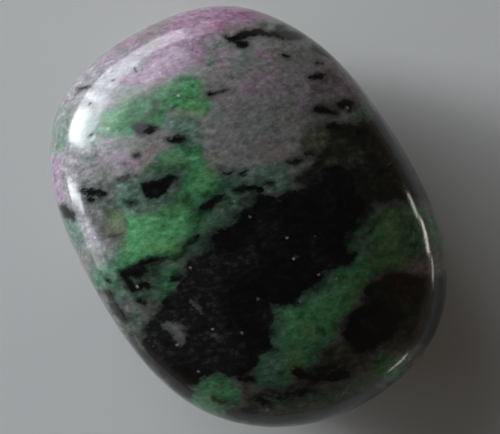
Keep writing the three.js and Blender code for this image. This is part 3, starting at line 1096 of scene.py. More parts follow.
# painted glints: pale marks where pits in the polish catch the light
GLINT = layer(
    *(
        streak((u, v, GLINT_RADIUS))
        for u, v in (
            (-10.6, 6.8), (-6.7, 11.0), (-4.4, 13.2), (7.45, 8.4), (2.0, 4.2), (0.7, -6.0),
            (3.9, -6.2), (5.3, -4.2), (6.6, -4.5), (3.4, -3.0), (-0.5, -8.6), (-2.7, -8.3),
            (-5.4, -9.5), (-3.8, -11.5), (-4.4, -3.7), (-8.4, -5.1), (1.4, -14.4), (1.5, 2.1),
            (-1.1, 1.35), (-11.6, -1.4), (-10.9, -2.3), (-5.3, 9.3), (0.1, 0.2), (2.9, -1.4),
        )
    )
)
# plucked grains in the highlights, darkened with painted shade
PLUCKED_AND_SHADE = layer(
    streak((-8.6, 11.4, 0.1), (-8.5, 11.1, 0.1)),
    streak((-8.1, 11.1, 0.05), (-8.0, 11.3, 0.08)),
    streak((-9.6, 11.1, 0.03), (-9.5, 10.9, 0.05)),
    streak((-10.4, 10.4, 0.04), (-10.1, 10.5, 0.08)),
    streak((-11.3, 9.7, 0.04), (-10.6, 9.8, 0.03)),
    streak((-12.1, 8.6, 0.08), (-11.8, 8.8, 0.06)),
    streak((-11.7, 10.0, 0.06)),
    streak((-8.8, 12.4, 0.02), (-8.0, 12.3, 0.03)),
    streak((-12.4, 5.8, 0.06)),
    streak((-12.3, 0.7, 0.06), (-12.5, 1.2, 0.03)),
    streak((-8.9, 10.9, 0.06)),
)


@dataclass(frozen=True)
class Vein:
    """One mineral's layer of the map, and how ragged its edges are in mm."""

    mineral: Mineral
    layer: Layer
    raggedness: float


# (wavelength, weight) pairs in mm.
Waves = tuple[tuple[float, float], ...]


@dataclass
class MineralMap:
    """Lays the map through the rock and stores each mineral's depth on the skin.

    Below girdle_top the bodies lean, by the dip for each mm, and down to girdle_foot they
    wander more and more. The folds fray every edge, and the drift carries whole bodies
    sideways. The map is drawn as seen from sight_height, true to size at sight_level.
    """

    veins: tuple[Vein, ...] = (
        Vein(Mineral.AMPHIBOLE, AMPHIBOLE, 0.2),
        Vein(Mineral.FLECK, FLECK, 0.1),
        Vein(Mineral.VEIL, VEIL, 0.4),
        Vein(Mineral.ZOISITE, ZOISITE, 0.2),
        Vein(Mineral.BRIGHT, BRIGHT, 0.4),
        Vein(Mineral.SAGE, SAGE, 0.3),
        Vein(Mineral.LIME, LIME, 0.3),
        Vein(Mineral.DEEP, DEEP, 0.2),
        Vein(Mineral.DUSK_AND_RIM_SHADE, DUSK_AND_RIM_SHADE, 0.3),
        Vein(Mineral.OLIVE, OLIVE, 0.3),
        Vein(Mineral.RUBY, RUBY, 0.2),
        Vein(Mineral.BLUSH, BLUSH, 0.3),
        Vein(Mineral.RUST, RUST, 0.2),
        Vein(Mineral.PALE_AND_SHEEN, PALE_AND_SHEEN, 0.4),
        Vein(Mineral.GLINT, GLINT, 0.0),
        Vein(Mineral.PLUCKED_AND_SHADE, PLUCKED_AND_SHADE, 0.0),
    )
    girdle_top: float = 7.4
    girdle_foot: float = 3.0
    dip: tuple[float, float] = (0.6, -0.45)
    sight_height: float = 164.0
    sight_level: float = 7.0
    folds: Waves = ((1.6, 1.0), (0.5, 0.45))
    drift: Waves = ((6.0, 7.0), (2.0, 2.2))
    seed: int = 7

    def lay_on(self, piece: bpy.types.Object) -> None:
        """Stores every mineral's depth as a point attribute in mm.

        Args:
            piece: the stone's skin.
        """
        points = read_points(piece.data) / MM
        share = (self.girdle_top - points[:, 2]) / (self.girdle_top - self.girdle_foot)
        deep = smooth_share(share)[:, None]
        at = self._on_map(points) + self._wander(points, self.drift) * deep
        folding = self._wander(points, self.folds) * (1 + deep)
        for vein in self.veins:
            depth = vein.layer.depth(at + folding * vein.raggedness)
            stored = np.clip(depth, -STORED_DEPTH, STORED_DEPTH)
            name = vein.mineral.value
            attribute = piece.data.attributes.new(name, "FLOAT", "POINT")
            attribute.data.foreach_set("value", stored.astype(np.float32))
            log.info("%s covers %.0f %% of the skin's points", name, 100 * (depth > 0).mean())

    def _on_map(self, points: np.ndarray) -> np.ndarray:
        """Where each point of the rock lies on the map.

        Args:
            points: rows of (x, y, z) in mm.

        Returns:
            Rows of (u, v) in mm. What is nearer the eye is larger on the map.
        """
        cosine, sine = math.cos(MAP_BEARING), math.sin(MAP_BEARING)
        nearness = (self.sight_height - self.sight_level) / (self.sight_height - points[:, 2])
        u = (points[:, 0] * cosine + points[:, 1] * sine) * nearness
        v = (points[:, 1] * cosine - points[:, 0] * sine) * nearness
        drop = np.maximum(0.0, self.girdle_top - points[:, 2])
        return np.stack([u + self.dip[0] * drop, v + self.dip[1] * drop], 1)

    def _wander(self, points: np.ndarray, waves: Waves) -> np.ndarray:
        """A smooth random shift that makes the drawn edges natural.

        Args:
            points: rows of (x, y, z) in mm.
            waves: the parts of the shift.

        Returns:
            Rows of (u, v) shifts.
        """
        # the noise needs a seed: without one it starts from the clock, and each run differs
        noise.seed_set(self.seed)
        total = np.zeros((len(points), 2))
        for wavelength, weight in waves:
            shifts = [noise.noise_vector(Vector(p) / wavelength)[:2] for p in points]
            total += weight * np.array(shifts)
        return total


def smooth_share(share: np.ndarray) -> np.ndarray:
    """0 to 1 with no corners, for a share held between 0 and 1."""
    held = np.clip(share, 0.0, 1.0)
    return held * held * (3 - 2 * held)


# ---- relief -------------------------------------------------------------------


@dataclass
class PolishRelief:
    """What tumbling leaves: worn-back soft minerals, a faint waviness, and polish pits.

    Lengths are in mm. The amphibole is the soft mineral, the pits are drawn out along the
    grain, and all of it fades out towards the level foot.
    """

    undercut: float = 0.018
    waviness: float = 0.03
    wave_length: float = 3.2
    pits_per_mm2: float = 0.06
    pit_depth: float = 0.025
    pit_radius: float = 0.22
    pit_stretch: float = 2.4
    soft_edge: Band = (-0.1, 0.25)
    foot: Band = (0.0, 0.6)
    seed: int = 7

    def wear(self, piece: bpy.types.Object, material: bpy.types.Material) -> None:
        """Moves the skin's points inwards by a few hundredths of a millimetre."""
        self._tree(material).run_on(piece)

    def _tree(self, material: bpy.types.Material) -> GeometryGraph:
        """The node tree that wears the skin.

        Args:
            material: the stone's finish.

        Returns:
            The tree, ready to run.
        """
        graph = GeometryGraph("polish_relief")
        undercut = graph.named_input("Undercut", "NodeSocketFloat", self.undercut)
        waviness = graph.named_input("Waviness", "NodeSocketFloat", self.waviness)
        wave_length = graph.named_input("Wave length", "NodeSocketFloat", self.wave_length)
        density = graph.named_input("Pits per mm2", "NodeSocketFloat", self.pits_per_mm2)
        depth = graph.named_input("Pit depth", "NodeSocketFloat", self.pit_depth)
        radius = graph.named_input("Pit radius", "NodeSocketFloat", self.pit_radius)
        seed = graph.named_input("Seed", "NodeSocketInt", self.seed)
        finish = graph.named_input("Material", "NodeSocketMaterial", material)
        skin = graph.geometry_in()
        at = graph.scaled(graph.node("GeometryNodeInputPosition"), 1 / MM)
        soft = attribute_of(graph, Mineral.AMPHIBOLE).ramp(*self.soft_edge)
        waves = graph.node(
            "ShaderNodeTexNoise",
            {"noise_dimensions": "3D"},
            {"Vector": at, "Scale": 1.0 / wave_length, "Detail": 1.0},
        )
        pits = self._pits(graph, skin, at, density, radius, seed)
        sunk = soft * undercut + waves * waviness + pits * depth
        height = graph.node("ShaderNodeSeparateXYZ", inputs={0: at}, output="Z")
        sunk = sunk * height.ramp(*self.foot)
        inwards = graph.scaled(graph.node("GeometryNodeInputNormal"), sunk * -MM)
        worn_skin = graph.node(
            "GeometryNodeSetPosition", inputs={"Geometry": skin, "Offset": inwards}
        )
        graph.finish_with(worn_skin, finish)
        return graph

    def _pits(
        self,
        graph: GeometryGraph,
        skin: Value,
        at: Value,
        density: Value,
        radius: Value,
        seed: Value,
    ) -> Value:
        """How deep in a pit each point is, from 0 to 1.

        Args:
            graph: the tree to write in.
            skin: the geometry that the pits are scattered on.
            at: each point's place in mm.
            density: pits to a square millimetre.
            radius: a pit's half width in mm.
            seed: the seed of the scatter.

        Returns:
            1 at the bottom of a pit, 0 on the polish.
        """
        wanted = density * (1 / (MM * MM))
        squeezed_at = self._squeeze(graph, at)
        scattered = graph.node(
            "GeometryNodeDistributePointsOnFaces",
            {"distribute_method": "RANDOM"},
            {"Mesh": skin, "Density": wanted, "Seed": seed},
            output="Points",
        )
        squeezed = graph.node(
            "GeometryNodeSetPosition",
            inputs={"Geometry": scattered, "Position": squeezed_at},
        )
        near = graph.node(
            "GeometryNodeProximity",
            {"target_element": "POINTS"},
            {"Geometry": squeezed, "Sample Position": squeezed_at},
            output="Distance",
        )
        share = (1 - near / radius).at_least(0.0)
        return share.ramp(0.0, 1.0)

    def _squeeze(self, graph: GeometryGraph, at: Value) -> Value:
        """Squeezes the rock's grain short, so that round pits come out long.

        Args:
            graph: the tree to write in.
            at: each point's place in mm.

        Returns:
            The squeezed place of each point.
        """
        turned = graph.node(
            "ShaderNodeVectorRotate",
            {"rotation_type": "Z_AXIS"},
            {"Vector": at, "Angle": -(MAP_BEARING + GRAIN_BEARING)},
        )
        return graph.vector("MULTIPLY", turned, (1 / self.pit_stretch, 1.0, 1.0))


def attribute_of(graph: Graph, mineral: Mineral) -> Value:
    """Reads a mineral's depth in a geometry or a shader tree.

    Args:
        graph: the tree to read it in.
        mineral: the field of the map.

    Returns:
        The depth in mm at each place.
    """
    if isinstance(graph, GeometryGraph):
        return graph.node(
            "GeometryNodeInputNamedAttribute", {"data_type": "FLOAT"}, {"Name": mineral.value}
        )
    return graph.node(
        "ShaderNodeAttribute",
        {"attribute_type": "GEOMETRY", "attribute_name": mineral.value},
        output="Fac",
    )


# ---- finish -------------------------------------------------------------------


Colour = tuple[float, float, float]
# A mineral's darkest, usual and lightest colours, or its one colour.
Tones = tuple[Colour, ...]


def linear(level: int) -> float:
    """One 0 to 255 screen level on the linear scale that Blender mixes on."""
    share = level / 255
    return share / 12.92 if share <= 0.04045 else ((share + 0.055) / 1.055) ** 2.4


def srgb(red: int, green: int, blue: int) -> Colour:
    """A colour from its 0 to 255 screen levels, on the linear scale."""
    return (linear(red), linear(green), linear(blue))


@dataclass(frozen=True)
class RockPalette:
    """The colours of the rock's minerals, and of the painted sheen, glints and shade."""

    matrix: Tones = (srgb(92, 91, 89), srgb(113, 110, 107), srgb(132, 129, 126))
    matrix_warm: Colour = srgb(118, 102, 101)
    matrix_cool: Colour = srgb(100, 112, 103)
    # also the colour of the painted sheen at the left and along the top-left rim
    pale: Tones = (srgb(106, 101, 103), srgb(134, 128, 132), srgb(160, 155, 158))
    # also the colour of the painted shade under the lower right rim
    dusk_and_rim_shade: Tones = (srgb(3, 4, 2), srgb(14, 17, 9), srgb(34, 37, 25))
    olive: Tones = (srgb(38, 40, 26), srgb(70, 71, 54), srgb(98, 98, 78))
    blush: Tones = (srgb(108, 84, 102), srgb(143, 113, 134), srgb(170, 144, 162))
    ruby: Tones = (srgb(92, 30, 62), srgb(128, 58, 98), srgb(156, 98, 132))
    green: Tones = (srgb(38, 80, 50), srgb(65, 119, 78), srgb(94, 146, 104))
    bright: Tones = (srgb(62, 110, 70), srgb(86, 151, 95), srgb(114, 176, 126))
    teal: Colour = srgb(48, 106, 84)
    sage: Tones = (srgb(42, 66, 54), srgb(76, 104, 88), srgb(112, 136, 120))
    lime: Colour = srgb(108, 134, 82)
    deep: Colour = srgb(14, 38, 18)
    rust: Tones = (srgb(16, 6, 4), srgb(38, 19, 12), srgb(72, 44, 32))
    shade: Colour = srgb(22, 36, 24)
    black: Tones = (srgb(4, 4, 5), srgb(9, 9, 10), srgb(20, 20, 21))
    veil: Tones = (srgb(14, 14, 15), srgb(30, 30, 31), srgb(66, 67, 66))
    # the colour of the painted glints and of the pale dots
    speck: Colour = srgb(176, 174, 166)


@dataclass(frozen=True)
class Clouds:
    """A cloudy pattern: the main clouds' width in mm, and how many finer layers they hold.

    The shift moves the pattern, so that two of one width differ.
    """

    width: float
    layers: float = 3.0
    shift: float = 0.0


@dataclass
class RockTexture:
    """Patterns that run through the whole rock, drawn out along its grain.

    The clouds' harshness is the weight of each finer layer. A crystal grain's edge wanders
    in waves_per_grain waves, by fray_part of the grain's width. A dot is full out to
    full_part of its radius, and a step of sharp_step is as good as sharp.
    """

    graph: Graph
    at: Value
    along: Value
    harshness: float = 0.65
    waves_per_grain: float = 2.2
    fray_part: float = 0.7
    full_part: float = 0.5
    sharp_step: float = 0.001

    @classmethod
    def through(cls, graph: Graph, stretch: float, dip: float) -> "RockTexture":
        """Sets up the patterns of a material.

        Args:
            graph: the material's tree.
            stretch: how many times longer than wide the grains are.
            dip: how far the grain rises towards the right of the map, in radians.

        Returns:
            The patterns.
        """
        at = graph.scaled(graph.node("ShaderNodeTexCoord", output="Object"), 1 / MM)
        along = graph.node(
            "ShaderNodeMapping",
            {"vector_type": "TEXTURE"},
            {
                "Vector": at,
                "Rotation": (0.0, -dip, MAP_BEARING + GRAIN_BEARING),
                "Scale": (stretch, 1.0, 1.0),
            },
        )
        return cls(graph, at, along)

    def cloud(self, clouds: Clouds, shift: float = 0.0) -> Value:
        """Clouds with values round 0.5.

        Args:
            clouds: the pattern.
            shift: moves it further.

        Returns:
            The pattern, from 0 to 1.
        """
        moved = self.graph.vector("ADD", self.along, (clouds.shift + shift,) * 3)
        return self.graph.node(
            "ShaderNodeTexNoise",
            {"noise_dimensions": "3D"},
            {
                "Vector": moved,
                "Scale": 1 / clouds.width,
                "Detail": clouds.layers,
                "Roughness": self.harshness,
            },
        )

    def grains(self, size: float, shift: float = 0.0) -> Value:
        """Crystal grains, each with one random value from 0 to 1.

        Args:
            size: a grain's width in mm.
            shift: moves the pattern.

        Returns:
            The value of the grain at each place.
        """
        wander = self.graph.node(
            "ShaderNodeTexNoise",
            {"noise_dimensions": "3D"},
            {"Vector": self.along, "Scale": self.waves_per_grain / size, "Detail": 1.0},
            output="Color",
        )
        reach = (self.fray_part * size,) * 3
        frayed = self.graph.vector("MULTIPLY_ADD", wander, reach, self.along)
        moved = self.graph.vector("ADD", frayed, (shift,) * 3)
        cells = self.graph.node(
            "ShaderNodeTexVoronoi",
            {"voronoi_dimensions": "3D", "feature": "F1"},
            {"Vector": moved, "Scale": 1 / size},
            output="Color",
        )
        return self.graph.node("ShaderNodeSeparateColor", inputs={0: cells})

    def dots(self, spacing: float, radius: float, share: float) -> Value:
        """Scattered round dots.

        Args:
            spacing: the distance between places that may hold a dot, in mm.
            radius: a dot's radius in mm.
            share: the share of the places that hold one.

        Returns:
            1 in a dot, 0 outside.
        """
        cell = self.graph.node(
            "ShaderNodeTexVoronoi",
            {"voronoi_dimensions": "3D", "feature": "F1"},
            {"Vector": self.at, "Scale": 1 / spacing},
            output="Color",
        )
        lot = self.graph.node("ShaderNodeSeparateColor", inputs={0: cell})
        chosen = lot.ramp(1 - share - self.sharp_step, 1 - share)
        rim = radius / spacing
        away = cell.sibling("Distance").ramp(self.full_part * rim, rim)
        return (1 - away) * chosen


@dataclass(frozen=True)
class Overlay:
    """One mineral laid over those before it: its tones, its edge in mm, and its strength.

    The edge wanders by fray in clouds and by blocky from grain to grain, and soft is half
    its width.
    """

    mineral: Mineral
    tones: Tones
    fray: float
    soft: float
    strength: float = 1.0
    blocky: float = 0.0


@dataclass(frozen=True)
class PolishedRock:
    """The stone's finish: every mineral's colour, under one tumble polish.

    Widths, depths and reaches are in mm, and a reach is how wide a pattern makes an edge
    wander. A band is where a pattern or a depth turns from nothing to full, and a strength
    is the share of the colour that is replaced. Clouds seldom leave the middle third of 0
    to 1, and fray_gain makes up for that.
    """

    palette: RockPalette = RockPalette()
    ior: float = 1.69
    polish: float = 0.11
    dull: float = 0.34
    dull_share: float = 0.3
    black_gloss: float = 0.02
    blotch: Clouds = Clouds(0.6, shift=40.0)
    blotch_band: Band = (0.5, 0.8)
    # the rock's grain
    grain_stretch: float = 1.55
    grain_dip: float = 0.3
    # every mineral's edge, and the light and dark within it
    edge: Clouds = Clouds(0.8, 5.0)
    edge_grain: float = 0.3
    fray_gain: float = 3.0
    mottle: Clouds = Clouds(0.5, 5.0)
    own_shift: float = 4.0
    black_shift: float = 31.0
    tone_band: float = 0.176
    # slow changes of hue
    hue: Clouds = Clouds(1.7, shift=9.0)
    hue_band: Band = (0.5, 0.72)
    hue_strength: float = 0.7
    lime_strength: float = 0.3
    teal_strength: float = 0.4
    # the amphibole's flecks and strays, and the veils on it
    fleck_edge: Clouds = Clouds(0.3)
    fleck_reach: float = 0.5
    fleck_grain: float = 0.16
    fleck_grain_reach: float = 0.14
    fleck_band: Band = (-0.13, 0.1)
    stray: Clouds = Clouds(0.35, shift=3.0)
    stray_band: Band = (0.62, 0.7)
    stray_near: Band = (-0.9, 0.1)
    stray_strength: float = 0.8
    veil: Clouds = Clouds(0.4, 5.0, 5.0)
    # the dark rims round it
    near_black_reach: float = 2.4
    near_black_band: Band = (-0.9, 0.4)
    near_fleck_reach: float = 0.8
    near_fleck_band: Band = (-0.42, 0.12)
    shade_strength: float = 0.75
    # fine light and dark over all but the black
    speckle: Clouds = Clouds(0.3, shift=5.0)
    speckle_gain: float = 1.4
    speckle_grain: float = 0.12
    speckle_grain_gain: float = 0.16
    darkest: float = 0.2
    # painted glints of pits on the map, and scattered pale dots
    glint_edge: float = 0.06
    glint_strength: float = 0.7
    dot_spacing: float = 0.9
    dot_radius: float = 0.07
    dot_share: float = 0.14
    dot_strength: float = 0.3
    # plucked grains: those on the map, darkened with painted shade, and fine ones in the relief
    plucked_edge: float = 0.05
    plucked_painted_shade: float = 0.8
    plucked_roughness: float = 0.5
    pit_grain: float = 0.17
    pit_shift: float = 60.0
    pit_band: Band = (0.93, 0.97)
    pit_depth: float = 0.8
    ripple: Clouds = Clouds(0.35, shift=50.0)
    relief_strength: float = 0.15
    relief_metres: float = 0.00003

    def material(self) -> bpy.types.Material:
        """Builds the material.

        Returns:
            The material, which reads Object coordinates and the mineral map.
        """
        made = bpy.data.materials.new("polished_rock")
        made.use_nodes = True
        graph = Graph(made.node_tree)
        texture = RockTexture.through(graph, self.grain_stretch, self.grain_dip)
        black = self._black_cover(graph, texture)
        plucked = attribute_of(graph, Mineral.PLUCKED_AND_SHADE).ramp(-self.plucked_edge, self.plucked_edge)
        colour = self._rock_colour(graph, texture)
        colour = graph.blend(black, colour, self._black_colour(graph, texture))
        # painted glints on the map, and pale dots at random
        glints_and_dots = attribute_of(graph, Mineral.GLINT).ramp(-self.glint_edge, self.glint_edge)
        dots = texture.dots(self.dot_spacing, self.dot_radius, self.dot_share)
        glints_and_dots = (glints_and_dots * self.glint_strength).at_least(dots * self.dot_strength)
        colour = graph.blend(glints_and_dots, colour, self.palette.speck)
        # painted shade in the plucked pits on the map
        colour = graph.blend(plucked * self.plucked_painted_shade, colour, self.palette.shade)
        roughness = self._roughness(texture, black) + plucked * self.plucked_roughness
        shader = graph.node(
            "ShaderNodeBsdfPrincipled",
            inputs={
                "Base Color": colour,
                "Roughness": roughness,
                "IOR": self.ior,
                "Normal": self._fine_relief(graph, texture),
            },
        )
        graph.node("ShaderNodeOutputMaterial", inputs={"Surface": shader})
        return made

    def _overlays(self) -> tuple[Overlay, ...]:
        """The minerals that lie over the grey matrix, painted sheen and rim shade among them.

        Returns:
            An overlay for each, to be laid over the one before.
        """
        palette = self.palette
        return (
            # a paler matrix, and painted sheen
            Overlay(Mineral.PALE_AND_SHEEN, palette.pale, 0.5, 0.7, 0.9),
            Overlay(Mineral.BLUSH, palette.blush, 0.4, 0.5, 0.85),
            Overlay(Mineral.ZOISITE, palette.green, 0.45, 0.36, 1.0),
            Overlay(Mineral.BRIGHT, palette.bright, 0.6, 0.7, 0.6),
            Overlay(Mineral.SAGE, palette.sage, 0.8, 0.5, 0.8),
            # dark olive, and painted shade under the lower right rim
            Overlay(Mineral.DUSK_AND_RIM_SHADE, palette.dusk_and_rim_shade, 0.5, 0.5, 0.97),
            Overlay(Mineral.OLIVE, palette.olive, 0.5, 0.4, 0.85),
            Overlay(Mineral.RUBY, palette.ruby, 0.3, 0.45, 0.8),
            Overlay(Mineral.RUST, palette.rust, 0.3, 0.25, 0.8),
            Overlay(Mineral.LIME, (palette.lime,), 0.4, 0.6, 0.5),
            Overlay(Mineral.DEEP, (palette.deep,), 0.35, 0.3, 0.8),
        )

    def _cover(self, graph: Graph, texture: RockTexture, overlay: Overlay) -> Value:
        """A mineral's cover, its edge frayed in clouds and grain by grain.

        Args:
            graph: the shader tree.
            texture: the rock's patterns.
            overlay: the mineral and its edge.

        Returns:
            The cover, from 0 to 1.
        """
        shift = overlay.mineral.shift
        wander = texture.cloud(self.edge, shift).swing(self.fray_gain * overlay.fray)
        depth = attribute_of(graph, overlay.mineral) + wander
        if overlay.blocky:
            depth = depth + texture.grains(self.edge_grain, shift).swing(overlay.blocky)
        return depth.ramp(-overlay.soft, overlay.soft)

    def _black_cover(self, graph: Graph, texture: RockTexture) -> Value:
        """Where the black lies: ragged masses, cleaner flecks, and strays by the masses.

        Args:
            graph: the shader tree.
            texture: the rock's patterns.

        Returns:
            The cover, from 0 to 1.
        """
        overlay = Overlay(Mineral.AMPHIBOLE, self.palette.black, fray=0.4, soft=0.2, blocky=0.3)
        masses = self._cover(graph, texture, overlay)
        wander = texture.cloud(self.fleck_edge).swing(self.fleck_reach)
        steps = texture.grains(self.fleck_grain).swing(self.fleck_grain_reach)
        flecks = (attribute_of(graph, Mineral.FLECK) + (wander + steps)).ramp(*self.fleck_band)
        strays = texture.cloud(self.stray).ramp(*self.stray_band)
        near = attribute_of(graph, Mineral.AMPHIBOLE).ramp(*self.stray_near)
        return masses.at_least(flecks).at_least(strays * near * self.stray_strength)

    def _toned(self, graph: Graph, pattern: Value, tones: Tones) -> Value:
        """A mineral's colour, darker and lighter with a pattern.

        Args:
            graph: the shader tree.
            pattern: values round 0.5.
            tones: the mineral's darkest, usual and lightest colours.

        Returns:
            The colour: the usual one at 0.5, and the others a tone band to each side.
        """
        dark, usual, light = tones
        low = graph.blend(pattern.ramp(0.5 - self.tone_band, 0.5), dark, usual)
        return graph.blend(pattern.ramp(0.5, 0.5 + self.tone_band), low, light)

    def _black_colour(self, graph: Graph, texture: RockTexture) -> Value:
        """The amphibole's own colour: black, with faint grey mottling and veils.

        Args:
            graph: the shader tree.
            texture: the rock's patterns.

        Returns:
            The colour.
        """
        palette = self.palette
        black = self._toned(graph, texture.cloud(self.mottle, self.black_shift), palette.black)
        overlay = Overlay(Mineral.VEIL, palette.veil, fray=0.8, soft=0.7, strength=0.5)
        veil = self._toned(graph, texture.cloud(self.veil), overlay.tones)
        cover = self._cover(graph, texture, overlay)
        return graph.blend(cover * overlay.strength, black, veil)

    def _rock_colour(self, graph: Graph, texture: RockTexture) -> Value:
        """The colour of everything but the black amphibole.

        Args:
            graph: the shader tree.
            texture: the rock's patterns.

        Returns:
            The colour.
        """
        palette = self.palette
        mottle = texture.cloud(self.mottle)
        hue = texture.cloud(self.hue)
        warm = hue.ramp(*self.hue_band)
        cool = (1 - hue).ramp(*self.hue_band)
        colour = self._toned(graph, mottle, palette.matrix)
        colour = graph.blend(warm * self.hue_strength, colour, palette.matrix_warm)
        colour = graph.blend(cool * self.hue_strength, colour, palette.matrix_cool)
        for overlay in self._overlays():
            cover = self._cover(graph, texture, overlay)
            own = overlay.tones[0]
            if len(overlay.tones) > 1:
                own_mottle = texture.cloud(self.mottle, self.own_shift + overlay.mineral.shift)
                own = self._toned(graph, own_mottle, overlay.tones)
            if overlay.mineral is Mineral.ZOISITE:
                own = graph.blend(warm * self.lime_strength, own, palette.lime)
                own = graph.blend(cool * self.teal_strength, own, palette.teal)
            colour = graph.blend(cover * overlay.strength, colour, own)
        by_black = attribute_of(graph, Mineral.AMPHIBOLE) + mottle.swing(self.near_black_reach)
        by_fleck = attribute_of(graph, Mineral.FLECK) + mottle.swing(self.near_fleck_reach)
        shade = by_black.ramp(*self.near_black_band)
        shade = shade.at_least(by_fleck.ramp(*self.near_fleck_band))
        colour = graph.blend(shade * self.shade_strength, colour, palette.shade)
        speckle = texture.cloud(self.speckle).swing(self.speckle_gain)
        speckle = speckle + texture.grains(self.speckle_grain).swing(self.speckle_grain_gain)
        return graph.scaled(colour, (speckle + 1.0).at_least(self.darkest))

    def _roughness(self, texture: RockTexture, black: Value) -> Value:
        """The polish: duller in blotches, and best on the amphibole.

        Args:
            texture: the rock's patterns.
            black: the amphibole's cover.

        Returns:
            The roughness.
        """
        blotches = texture.cloud(self.blotch).ramp(*self.blotch_band)
        duller = blotches * (self.dull_share * (self.dull - self.polish))
        return duller + self.polish - black * self.black_gloss

    def _fine_relief(self, graph: Graph, texture: RockTexture) -> Value:
        """Fine waviness, and pits where the tumbling plucked a grain out.

        Args:
            graph: the shader tree.
            texture: the rock's patterns.

        Returns:
            The normal.
        """
        pits = texture.grains(self.pit_grain, self.pit_shift).ramp(*self.pit_band)
        height = texture.cloud(self.ripple) - pits * self.pit_depth
        return graph.node(
            "ShaderNodeBump",
            inputs={
                "Strength": self.relief_strength,
                "Distance": self.relief_metres,
                "Height": height,
            },
        )


# ---- studio -------------------------------------------------------------------


@dataclass(frozen=True)
class Softbox:
    """A soft rectangular light that looks at the stone, as the stone sees it.

    Angles are in degrees: the bearing is on the mineral map, from its u axis, and the
    height is above the floor. The distance is in metres, and the brightness is the lamp's,
    with a white floor at 1. A light that isn't glossy lights the stone and doesn't show in
    the polish.
    """

    name: str
    bearing: float
    spread: float
    height: float
    rise: float
    brightness: float
    colour: Colour
    glossy: bool = True
    distance: float = 0.6

    def place(self, heart: Vector) -> bpy.types.Object:
        """Puts the light up.

        Args:
            heart: what the light looks at.

        Returns:
            The light.
        """
        data = bpy.data.lights.new(self.name, "AREA")
        data.shape = "RECTANGLE"
        data.size = 2 * self.distance * math.tan(math.radians(self.spread) / 2)
        data.size_y = 2 * self.distance * math.tan(math.radians(self.rise) / 2)
        data.energy = self.brightness * math.pi * data.size * data.size_y
        data.color = self.colour
        lamp = bpy.data.objects.new(self.name, data)
        around = MAP_BEARING + math.radians(self.bearing)
        up = math.radians(self.height)
        way = direction(around, up)
        lamp.matrix_world = Matrix.Translation(heart + way * self.distance) @ (
            way.to_track_quat("Z", "Y").to_matrix().to_4x4()
        )
        lamp.visible_glossy = self.glossy
        bpy.context.scene.collection.objects.link(lamp)
        return lamp


COOL: Colour = (0.9, 0.97, 1.04)
WARM: Colour = (1.0, 0.96, 0.84)


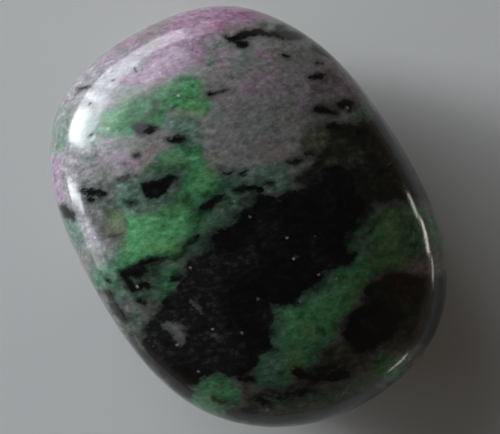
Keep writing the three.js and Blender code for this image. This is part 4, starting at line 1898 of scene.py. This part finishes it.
@dataclass
class Studio:
    """The pale floor, the soft lights and the camera.

    The camera looks straight down at a point that is aim, in mm on the map, from the
    middle of the stone. The sky is sky_low at the horizon, sky_mid at the height mid_sky
    and sky_high from top_sky on, where 1 is straight up.
    """

    floor_size: float = 1.6
    floor_colour: Colour = srgb(221, 219, 216)
    lens: float = 150.0
    camera_distance: float = 0.157
    aim: tuple[float, float] = (0.1, 0.15)
    near_clip: float = 0.01
    far_clip: float = 10.0
    sky_low: Colour = (0.2, 0.165, 0.14)
    sky_mid: Colour = (0.05, 0.043, 0.037)
    sky_high: Colour = (0.03, 0.028, 0.026)
    mid_sky: float = 0.4
    top_sky: float = 0.95
    boxes: tuple[Softbox, ...] = (
        Softbox("daylight", 160.0, 15.0, 10.5, 17.0, 34.0, COOL, glossy=False),
        Softbox("window", 160.0, 13.0, 8.2, 15.0, 4.5, COOL),
        Softbox("window_glow", 160.0, 17.0, 10.0, 20.0, 4.5, COOL),
        Softbox("window_frame", 156.0, 24.0, 12.5, 26.0, 4.5, COOL),
        Softbox("window_edge", 138.0, 18.0, 10.0, 22.0, 4.4, COOL),
        Softbox("curtain", 119.0, 20.0, 7.5, 20.0, 4.2, COOL),
        Softbox("curtain_fold", 102.0, 14.0, 7.0, 20.0, 1.3, COOL),
        Softbox("wall", 138.0, 46.0, 29.0, 14.0, 2.5, COOL),
        Softbox("upper_wall", 138.0, 46.0, 43.0, 14.0, 1.0, COOL),
        Softbox("side_window", 181.0, 5.0, 3.0, 21.0, 9.0, COOL),
        Softbox("side_curtain", 193.0, 14.0, 10.0, 24.0, 2.0, COOL),
        Softbox("far_strip", 4.0, 12.0, 8.5, 5.0, 6.5, WARM),
        Softbox("far_strip_head", 14.0, 9.0, 14.5, 5.0, 4.5, WARM),
        Softbox("far_strip_foot", 354.0, 7.0, 2.0, 4.0, 3.0, WARM),
        Softbox("low_glint", 316.0, 8.0, 0.5, 3.5, 4.5, WARM),
    )

    def build(self) -> None:
        """Builds the floor, the lights, the surroundings and the camera."""
        low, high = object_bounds()
        heart = (low + high) / 2
        self._floor(low.z)
        for box in self.boxes:
            box.place(heart)
        self._surroundings()
        self._camera(heart)

    def _floor(self, level: float) -> None:
        """Lays the floor under the stone.

        Args:
            level: the height of the stone's foot in metres.
        """
        half = self.floor_size / 2
        sides = ((-half, -half), (half, -half), (half, half), (-half, half))
        corners = [(x, y, level) for x, y in sides]
        mesh = bpy.data.meshes.new("floor")
        mesh.from_pydata(corners, [], [(0, 1, 2, 3)])
        made = bpy.data.materials.new("floor_paint")
        made.use_nodes = True
        graph = Graph(made.node_tree)
        shader = graph.node(
            "ShaderNodeBsdfPrincipled",
            inputs={
                "Base Color": self.floor_colour,
                "Roughness": 1.0,
                "Specular IOR Level": 0.0,
            },
        )
        graph.node("ShaderNodeOutputMaterial", inputs={"Surface": shader})
        mesh.materials.append(made)
        floor = bpy.data.objects.new("floor", mesh)
        bpy.context.scene.collection.objects.link(floor)
        floor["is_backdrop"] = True

    def _surroundings(self) -> None:
        """Surrounds the set with soft warm grey light, dim overhead."""
        world = bpy.data.worlds.new("studio")
        world.use_nodes = True
        graph = Graph(world.node_tree)
        way = graph.node("ShaderNodeTexCoord", output="Generated")
        split = graph.node("ShaderNodeSeparateXYZ", inputs={0: way})
        height = split.sibling("Z")
        low = graph.blend(height.ramp(0.0, self.mid_sky), self.sky_low, self.sky_mid)
        whole = graph.blend(height.ramp(self.mid_sky, self.top_sky), low, self.sky_high)
        sky = graph.node("ShaderNodeBackground", inputs={"Color": whole})
        graph.node("ShaderNodeOutputWorld", inputs={"Surface": sky})
        bpy.context.scene.world = world

    def _camera(self, heart: Vector) -> None:
        """Hangs the camera straight above the stone.

        Args:
            heart: the middle of the stone.
        """
        data = bpy.data.cameras.new("camera")
        data.lens = self.lens
        data.dof.use_dof = False
        data.clip_start, data.clip_end = self.near_clip, self.far_clip
        camera = bpy.data.objects.new("camera", data)
        turn = Matrix.Rotation(MAP_BEARING, 4, "Z")
        aim = turn @ Vector((*self.aim, 0.0)) * MM
        place = Vector((heart.x + aim.x, heart.y + aim.y, heart.z + self.camera_distance))
        camera.matrix_world = Matrix.Translation(place) @ turn
        bpy.context.scene.collection.objects.link(camera)
        bpy.context.scene.camera = camera
        bpy.context.scene.view_settings.view_transform = "Standard"


# ---- the whole ----------------------------------------------------------------


@dataclass
class Specimen:
    """The pebble: its shape, its minerals, its relief and its finish."""

    shape: StoneShape = field(default_factory=StoneShape)
    minerals: MineralMap = field(default_factory=MineralMap)
    relief: PolishRelief = field(default_factory=PolishRelief)
    finish: PolishedRock = PolishedRock()

    def build(self) -> bpy.types.Object:
        """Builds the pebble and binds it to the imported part.

        Returns:
            The stone's skin.
        """
        material = self.finish.material()
        stone = self.shape.build(material)
        self.minerals.lay_on(stone)
        self.relief.wear(stone, material)
        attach(stone, BODY)
        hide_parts(NODE)
        return stone


def report(pieces: Iterable[bpy.types.Object]) -> None:
    """Logs each piece's triangles and size.

    Args:
        pieces: the finished pieces.
    """
    for piece in pieces:
        triangles = sum(len(face.vertices) - 2 for face in piece.data.polygons)
        size = ", ".join(f"{side / MM:.2f}" for side in piece.dimensions)
        log.info("%s: %d triangles, %s mm", piece.name, triangles, size)


def main() -> None:
    """Builds the specimen and the studio, and reports each piece."""
    logging.basicConfig(level=logging.INFO, format="%(name)s: %(message)s")
    stone = Specimen().build()
    Studio().build()
    report([stone])


if __name__ == "__main__":
    main()
